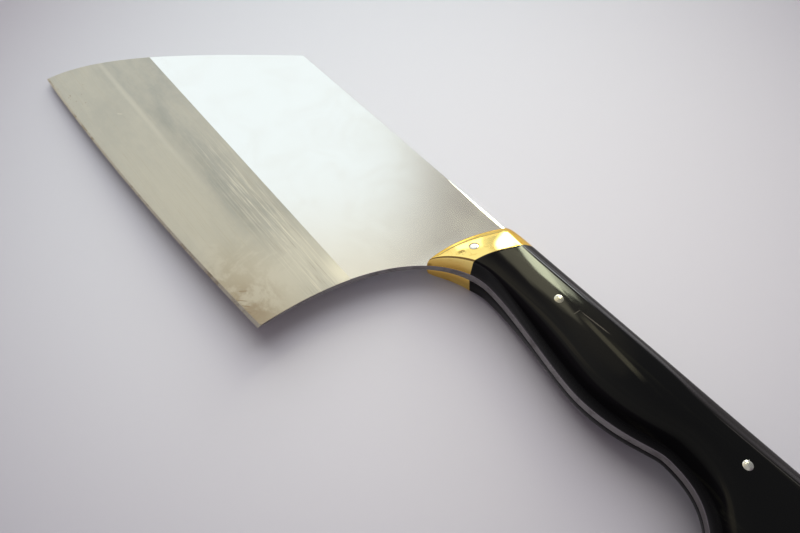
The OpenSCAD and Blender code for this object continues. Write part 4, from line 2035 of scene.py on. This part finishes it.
@dataclass
class Bolsters(HandlePart):
    """The two brass bolsters and the flush pin through them."""

    pin: PinForm = BOLSTER_PIN
    pin_finish: PinSteel = PinSteel("bolster_pin_steel", (0.66, 0.64, 0.57))
    steps: int = 46
    pin_rings: int = 7
    pin_edge: float = 0.12
    ray_height: float = 40.0

    def build_half(self, side: Side, finish: Material) -> Piece:
        """Builds the bolster of one side.

        Args:
            side: The side.
            finish: The brass.

        Returns:
            The bolster.
        """
        rings = broken_end(self.form.bolster_rings(self.steps), self.corner)
        rings = broken_end(rings[::-1], self.corner)[::-1]
        bm = MeshWorks.loft(rings, self.form.blade_seat.floor, side, shut=False)
        return self.bored(f"bolster_{side.label}_shaped", bm, [self.pin], finish)

    def build_pin(self) -> Piece:
        """Builds the pin, whose ends follow the sides of the bolsters.

        Returns:
            The pin.
        """
        ends = []
        for side in Side:
            tree = BVHTree.FromBMesh(self.solid_form(side))
            rings = []
            for k in range(self.pin_rings + 1):
                loop = self.pin.ring(self.pin.diameter / 2 * k / self.pin_rings, self.pin_turns)
                sink = self.pin_edge if k == self.pin_rings else 0.0
                rings.append([self.on_side(tree, p, side, sink) for p in loop])
            ends.append(rings)
        piece = MeshWorks.pin("bolster_pin_flush", ends, self.pin_sharp)
        piece.data.materials.append(self.pin_finish.material())
        return piece

    def solid_form(self, side: Side) -> bmesh.types.BMesh:
        """Builds the bolster's form without its bore and broken corners.

        Args:
            side: The side.

        Returns:
            The mesh.
        """
        rings = self.form.bolster_rings(self.steps)
        bm = MeshWorks.loft(rings, self.form.blade_seat.floor, side, shut=False)
        bm.faces.ensure_lookup_table()
        return bm

    def on_side(self, tree: BVHTree, place: np.ndarray, side: Side, sink: float) -> Vector:
        """Finds the point of the bolster's outer side over a place.

        Args:
            tree: The bolster's form.
            place: X and Y of the place.
            side: The side.
            sink: How far below the surface the point goes.

        Returns:
            The point in the row frame.
        """
        start = MeshWorks.to_row_frame(np.array([*place, self.ray_height]), side)
        hit, *_ = tree.ray_cast(Vector(start), Vector((0.0, 0.0, -side.value)))
        return hit - Vector((0.0, 0.0, side.value * sink * MM))

    def build(self) -> list[Finished]:
        """Builds both bolsters and their pin.

        Returns:
            The three pieces.
        """
        brass = Brass().material()
        made = [
            Finished(f"bolster_{side.label}", self.build_half(side, brass), Slot.BRASS)
            for side in Side
        ]
        return [*made, Finished(self.pin.name, self.build_pin(), Slot.PIN_STEEL)]


@dataclass
class Scales(HandlePart):
    """The two horn scales and the domed pins through them."""

    pin_clear: float = 0.05
    pins: tuple[tuple[PinForm, PinSteel], ...] = (
        (FRONT_PIN, PinSteel("front_handle_pin_steel", (0.74, 0.71, 0.58), (0.58, 0.54, 0.42))),
        (REAR_PIN, PinSteel("rear_handle_pin_steel")),
    )
    steps_per_mm: float = 1.0
    dome: float = 0.35
    dome_rings: int = 8

    def build_half(self, side: Side, finish: Material) -> Piece:
        """Builds the scale of one side.

        Args:
            side: The side.
            finish: The horn.

        Returns:
            The scale.
        """
        rings = broken_end(self.form.scale_rings(self.steps_per_mm), self.corner)
        bm = MeshWorks.loft(rings, self.form.tang_seat.floor, side, shut=True)
        pins = [pin for pin, _ in self.pins]
        return self.bored(f"scale_{side.label}_shaped", bm, pins, finish)

    def build_pin(self, pin: PinForm, finish: PinSteel) -> Piece:
        """Builds one pin with two domed heads.

        Args:
            pin: The pin's form.
            finish: Its steel.

        Returns:
            The pin.
        """
        form, radius = self.form, pin.diameter / 2
        top = form.side_half(pin.place[0]) - form.ridge_drop / 2 + form.face_crown
        ball = (radius**2 + self.dome**2) / (2 * self.dome)
        ends = []
        for side in Side:
            rings = []
            for k in range(self.dome_rings + 1):
                turn = math.asin(radius / ball) * k / self.dome_rings
                loop = pin.ring(ball * math.sin(turn), self.pin_turns)
                height = top + self.dome - ball * (1 - math.cos(turn))
                solid = np.column_stack([loop, np.full(len(loop), height)])
                rings.append(MeshWorks.to_row_frame(solid, side))
            ends.append(rings)
        piece = MeshWorks.pin(f"{pin.name}_domed", ends, self.pin_sharp)
        piece.data.materials.append(finish.material())
        return piece

    def build(self) -> list[Finished]:
        """Builds both scales and their pins.

        Returns:
            The four pieces.
        """
        horn = Horn().material()
        made = [
            Finished(f"scale_{side.label}", self.build_half(side, horn), Slot.HORN) for side in Side
        ]
        for pin, finish in self.pins:
            made.append(Finished(pin.name, self.build_pin(pin, finish), Slot.PIN_STEEL))
        return made


@dataclass(frozen=True)
class Patch:
    """A soft patch of light in the room, by the direction in which the knife sees it.

    Azimuth runs from +X towards +Y, and soft is how far the sides fade outwards
    in azimuth and in elevation. All three are in degrees.
    """

    name: str
    azimuth: Place
    elevation: Place
    soft: Place
    light: Colour


@dataclass(frozen=True)
class Lamp:
    """A broad lamp, by its direction and width in degrees."""

    name: str
    azimuth: float
    elevation: float
    angle: float
    strength: float
    tint: Colour


class Sky(NodeTree):
    """The world's node tree, which blends patches over a plain room."""

    def __init__(self, room: Colour) -> None:
        """Starts the world.

        Args:
            room: Light from where no patch is.
        """
        world = bpy.data.worlds.new("room")
        world.use_nodes = True
        bpy.context.scene.world = world
        super().__init__(world.node_tree)
        output = self.tree.nodes.new("ShaderNodeOutputWorld")
        self.background = self.tree.nodes.new("ShaderNodeBackground")
        self.tree.links.new(self.background.outputs[0], output.inputs["Surface"])
        coordinate = self.tree.nodes.new("ShaderNodeTexCoord")
        split = self.tree.nodes.new("ShaderNodeSeparateXYZ")
        self.tree.links.new(coordinate.outputs["Generated"], split.inputs[0])
        back = [self.times(split.outputs[i], -1.0) for i in range(2)]
        turn = self.calc("ADD", self.calc("ARCTAN2", back[1], back[0]), math.pi)
        rise = self.calc("ARCSINE", split.outputs[2])
        self.azimuth = self.times(turn, math.degrees(1.0))
        self.elevation = self.times(rise, math.degrees(1.0))
        self.light: Feed = room

    def inside(self, angle: Socket, limits: Place, soft: float) -> Socket:
        """1 between two angles, falling to 0 outside them over some degrees."""
        middle, half = (limits[0] + limits[1]) / 2, (limits[1] - limits[0]) / 2
        return self.band(angle, middle, half, soft)

    def add(self, patch: Patch) -> None:
        """Lays a patch over what is there.

        Args:
            patch: The patch.
        """
        across = self.inside(self.azimuth, patch.azimuth, patch.soft[0])
        upright = self.inside(self.elevation, patch.elevation, patch.soft[1])
        self.light = self.blend(self.times(across, upright), self.light, patch.light, patch.name)

    def finish(self) -> None:
        """Lights the world with what the patches made."""
        self.feed(self.background.inputs[0], self.light)


@dataclass(frozen=True)
class Studio:
    """The table that the knife lies on, the light and the camera."""

    # The knife lies on the front corner of its spine and on the joint of bolster and scale
    table_up: Triple = (0.0598, -0.05249, 0.99683)
    table_drop: float = 10.8
    table_size: float = 6.0
    table_steps: int = 12
    table_sharp: float = 30.0
    camera_at: Triple = (0.1415, -0.10095, 0.24213)
    camera_yaw: float = -49.892
    camera_pitch: float = 55.0
    lens: float = 33.93
    sensor: float = 36.0
    clip: Place = (0.01, 50.0)
    cool_table: Colour = (0.716, 0.76, 0.803)
    lilac_table: Colour = (0.70, 0.688, 0.716)
    lilac_run: Place = (-120.0, 260.0)
    # Painted shade at the card's rim, and the centre and reach of a painted pool of light behind the blade
    painted_shade_rim: Colour = (0.372, 0.363, 0.407)
    painted_light_at: Place = (77.0, 12.5)
    painted_light_reach: float = 235.0
    lamps: tuple[Lamp, ...] = (
        Lamp("daylight", 139.0, 50.5, 78.0, 2.38, (1.0, 0.992, 1.0)),
        Lamp("fill", 320.0, 50.0, 100.0, 0.25, (1.0, 0.88, 1.0)),
    )
    room: Colour = (0.145, 0.12, 0.145)
    patches: tuple[Patch, ...] = (
        Patch("overhead", (-10.0, 370.0), (66.0, 90.0), (10.0, 14.0), (0.42, 0.41, 0.38)),
        Patch("side_wall", (60.0, 104.0), (14.0, 62.0), (24.0, 16.0), (0.27, 0.27, 0.27)),
        Patch("beige_wall", (144.5, 190.0), (30.0, 66.0), (16.0, 14.0), (0.88, 0.79, 0.60)),
        Patch("shelf", (108.0, 124.0), (26.0, 60.0), (6.0, 8.0), (0.5, 0.47, 0.4)),
        Patch("sill", (137.0, 195.0), (-12.0, 9.0), (2.0, 4.0), (0.82, 0.8, 0.74)),
        Patch("window", (143.0, 182.0), (5.0, 48.0), (9.5, 10.0), (1.03, 1.088, 1.095)),
        Patch("window_pane", (142.5, 150.0), (-8.0, 18.0), (1.0, 5.0), (2.3, 2.45, 2.4)),
        Patch("low_window", (106.0, 137.0), (-8.0, 21.5), (1.2, 3.0), (5.4, 5.6, 5.5)),
        Patch("ceiling_glow", (117.5, 125.0), (45.0, 54.0), (2.0, 3.5), (2.8, 2.65, 1.9)),
        Patch("lamp_tip", (111.8, 115.0), (38.0, 42.8), (0.3, 0.3), (7.0, 7.3, 5.4)),
        Patch("lamp_middle", (113.2, 116.0), (36.0, 44.0), (0.3, 0.3), (12.0, 12.5, 9.1)),
        Patch("lamp", (114.8, 118.2), (23.0, 46.0), (0.4, 1.0), (20.0, 20.8, 14.6)),
    )

    def build_camera(self) -> None:
        """Stands the camera where the photograph was taken from."""
        yaw, pitch = math.radians(self.camera_yaw), math.radians(self.camera_pitch)
        right = Vector((math.cos(yaw), -math.sin(yaw), 0.0))
        level = Vector((math.sin(yaw), math.cos(yaw), 0.0))
        forward = level * math.cos(pitch) - Vector((0.0, 0.0, math.sin(pitch)))
        up = right.cross(forward)
        data = bpy.data.cameras.new("camera")
        data.lens = self.lens
        data.sensor_width = self.sensor
        data.clip_start, data.clip_end = self.clip
        camera = bpy.data.objects.new("camera", data)
        turn = Matrix((right, up, -forward)).transposed().to_4x4()
        camera.matrix_world = Matrix.Translation(self.camera_at) @ turn
        bpy.context.scene.collection.objects.link(camera)
        bpy.context.scene.camera = camera

    def build_table(self) -> None:
        """Lays the table under the knife."""
        up = Vector(self.table_up).normalized()
        across = up.cross(Vector((0.0, 1.0, 0.0))).normalized()
        along = up.cross(across)
        origin = -up * self.table_drop * MM
        half = self.table_size / 2
        stops = [mix(-half, half, i / self.table_steps) for i in range(self.table_steps + 1)]
        bm = bmesh.new()
        grid = [[bm.verts.new(origin + across * a + along * b) for b in stops] for a in stops]
        for row, following in zip(grid, grid[1:]):
            for j in range(self.table_steps):
                bm.faces.new((row[j], following[j], following[j + 1], row[j + 1]))
        table = MeshWorks.to_object("table", bm, self.table_sharp)
        table.data.materials.append(self.table_finish())

    def table_finish(self) -> Material:
        """Builds a matt pale card, with a painted pool of light behind the blade and painted shade towards
        its rim.

        Returns:
            The material.
        """
        sheet = NodeSheet("table_card")
        place = sheet.place()
        x, y, _ = sheet.axes(place)
        # A painted pool of light behind the blade, fading to painted shade towards the card's rim
        away = [sheet.calc("SUBTRACT", a, b) for a, b in zip((x, y), self.painted_light_at)]
        shares = [sheet.calc("DIVIDE", sheet.size(a), self.painted_light_reach) for a in away]
        squares = [sheet.calc("POWER", share, 2.0) for share in shares]
        rim = sheet.calc("ADD", *squares, clamp=True)
        middle = sheet.blend(sheet.span(x, *self.lilac_run), self.cool_table, self.lilac_table)
        grain = sheet.noise(place, 0.5, detail=4.0)
        sheet.shade(
            Base_Color=sheet.blend(rim, middle, self.painted_shade_rim),
            Roughness=0.75,
            Specular_IOR_Level=0.25,
            Normal=sheet.bump(grain, strength=0.03, depth=0.1),
        )
        return sheet.material

    def build_world(self) -> None:
        """Surrounds the knife with a room of soft patches of light."""
        sky = Sky(self.room)
        for patch in self.patches:
            sky.add(patch)
        sky.finish()

    def build_lamp(self, lamp: Lamp) -> None:
        """Adds broad light that the table and the knife stand in.

        Polished surfaces show the patches of the room instead of this lamp.

        Args:
            lamp: Where it stands and how it shines.
        """
        data = bpy.data.lights.new(lamp.name, "SUN")
        data.angle = math.radians(lamp.angle)
        data.energy = lamp.strength
        data.color = lamp.tint
        light = bpy.data.objects.new(lamp.name, data)
        turn, rise = math.radians(lamp.azimuth), math.radians(lamp.elevation)
        toward = Vector((math.cos(turn) * math.cos(rise), math.sin(turn) * math.cos(rise), math.sin(rise)))
        light.rotation_mode = "QUATERNION"
        light.rotation_quaternion = toward.to_track_quat("Z", "Y")
        light.visible_glossy = False
        bpy.context.scene.collection.objects.link(light)

    def build(self) -> None:
        """Sets the table, the light and the camera."""
        self.build_camera()
        self.build_table()
        self.build_world()
        for lamp in self.lamps:
            self.build_lamp(lamp)


def place_piece(made: Finished) -> None:
    """Lets a piece stand for a CAD node and ride with the knife.

    Args:
        made: The finished piece.
    """
    piece, node, slot = made.piece, made.node, made.slot.value
    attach(piece, BODY)
    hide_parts(node)
    LOG.info("%s stands for %s: %d faces", piece.name, node, len(piece.data.polygons))


def main() -> None:
    """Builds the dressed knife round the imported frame."""
    logging.basicConfig(level=logging.INFO, format="%(message)s")
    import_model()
    bpy.context.scene.view_settings.view_transform = "Standard"
    Studio().build()
    for part in (Steel(), Bolsters(), Scales()):
        for made in part.build():
            place_piece(made)


if __name__ == "__main__":
    main()
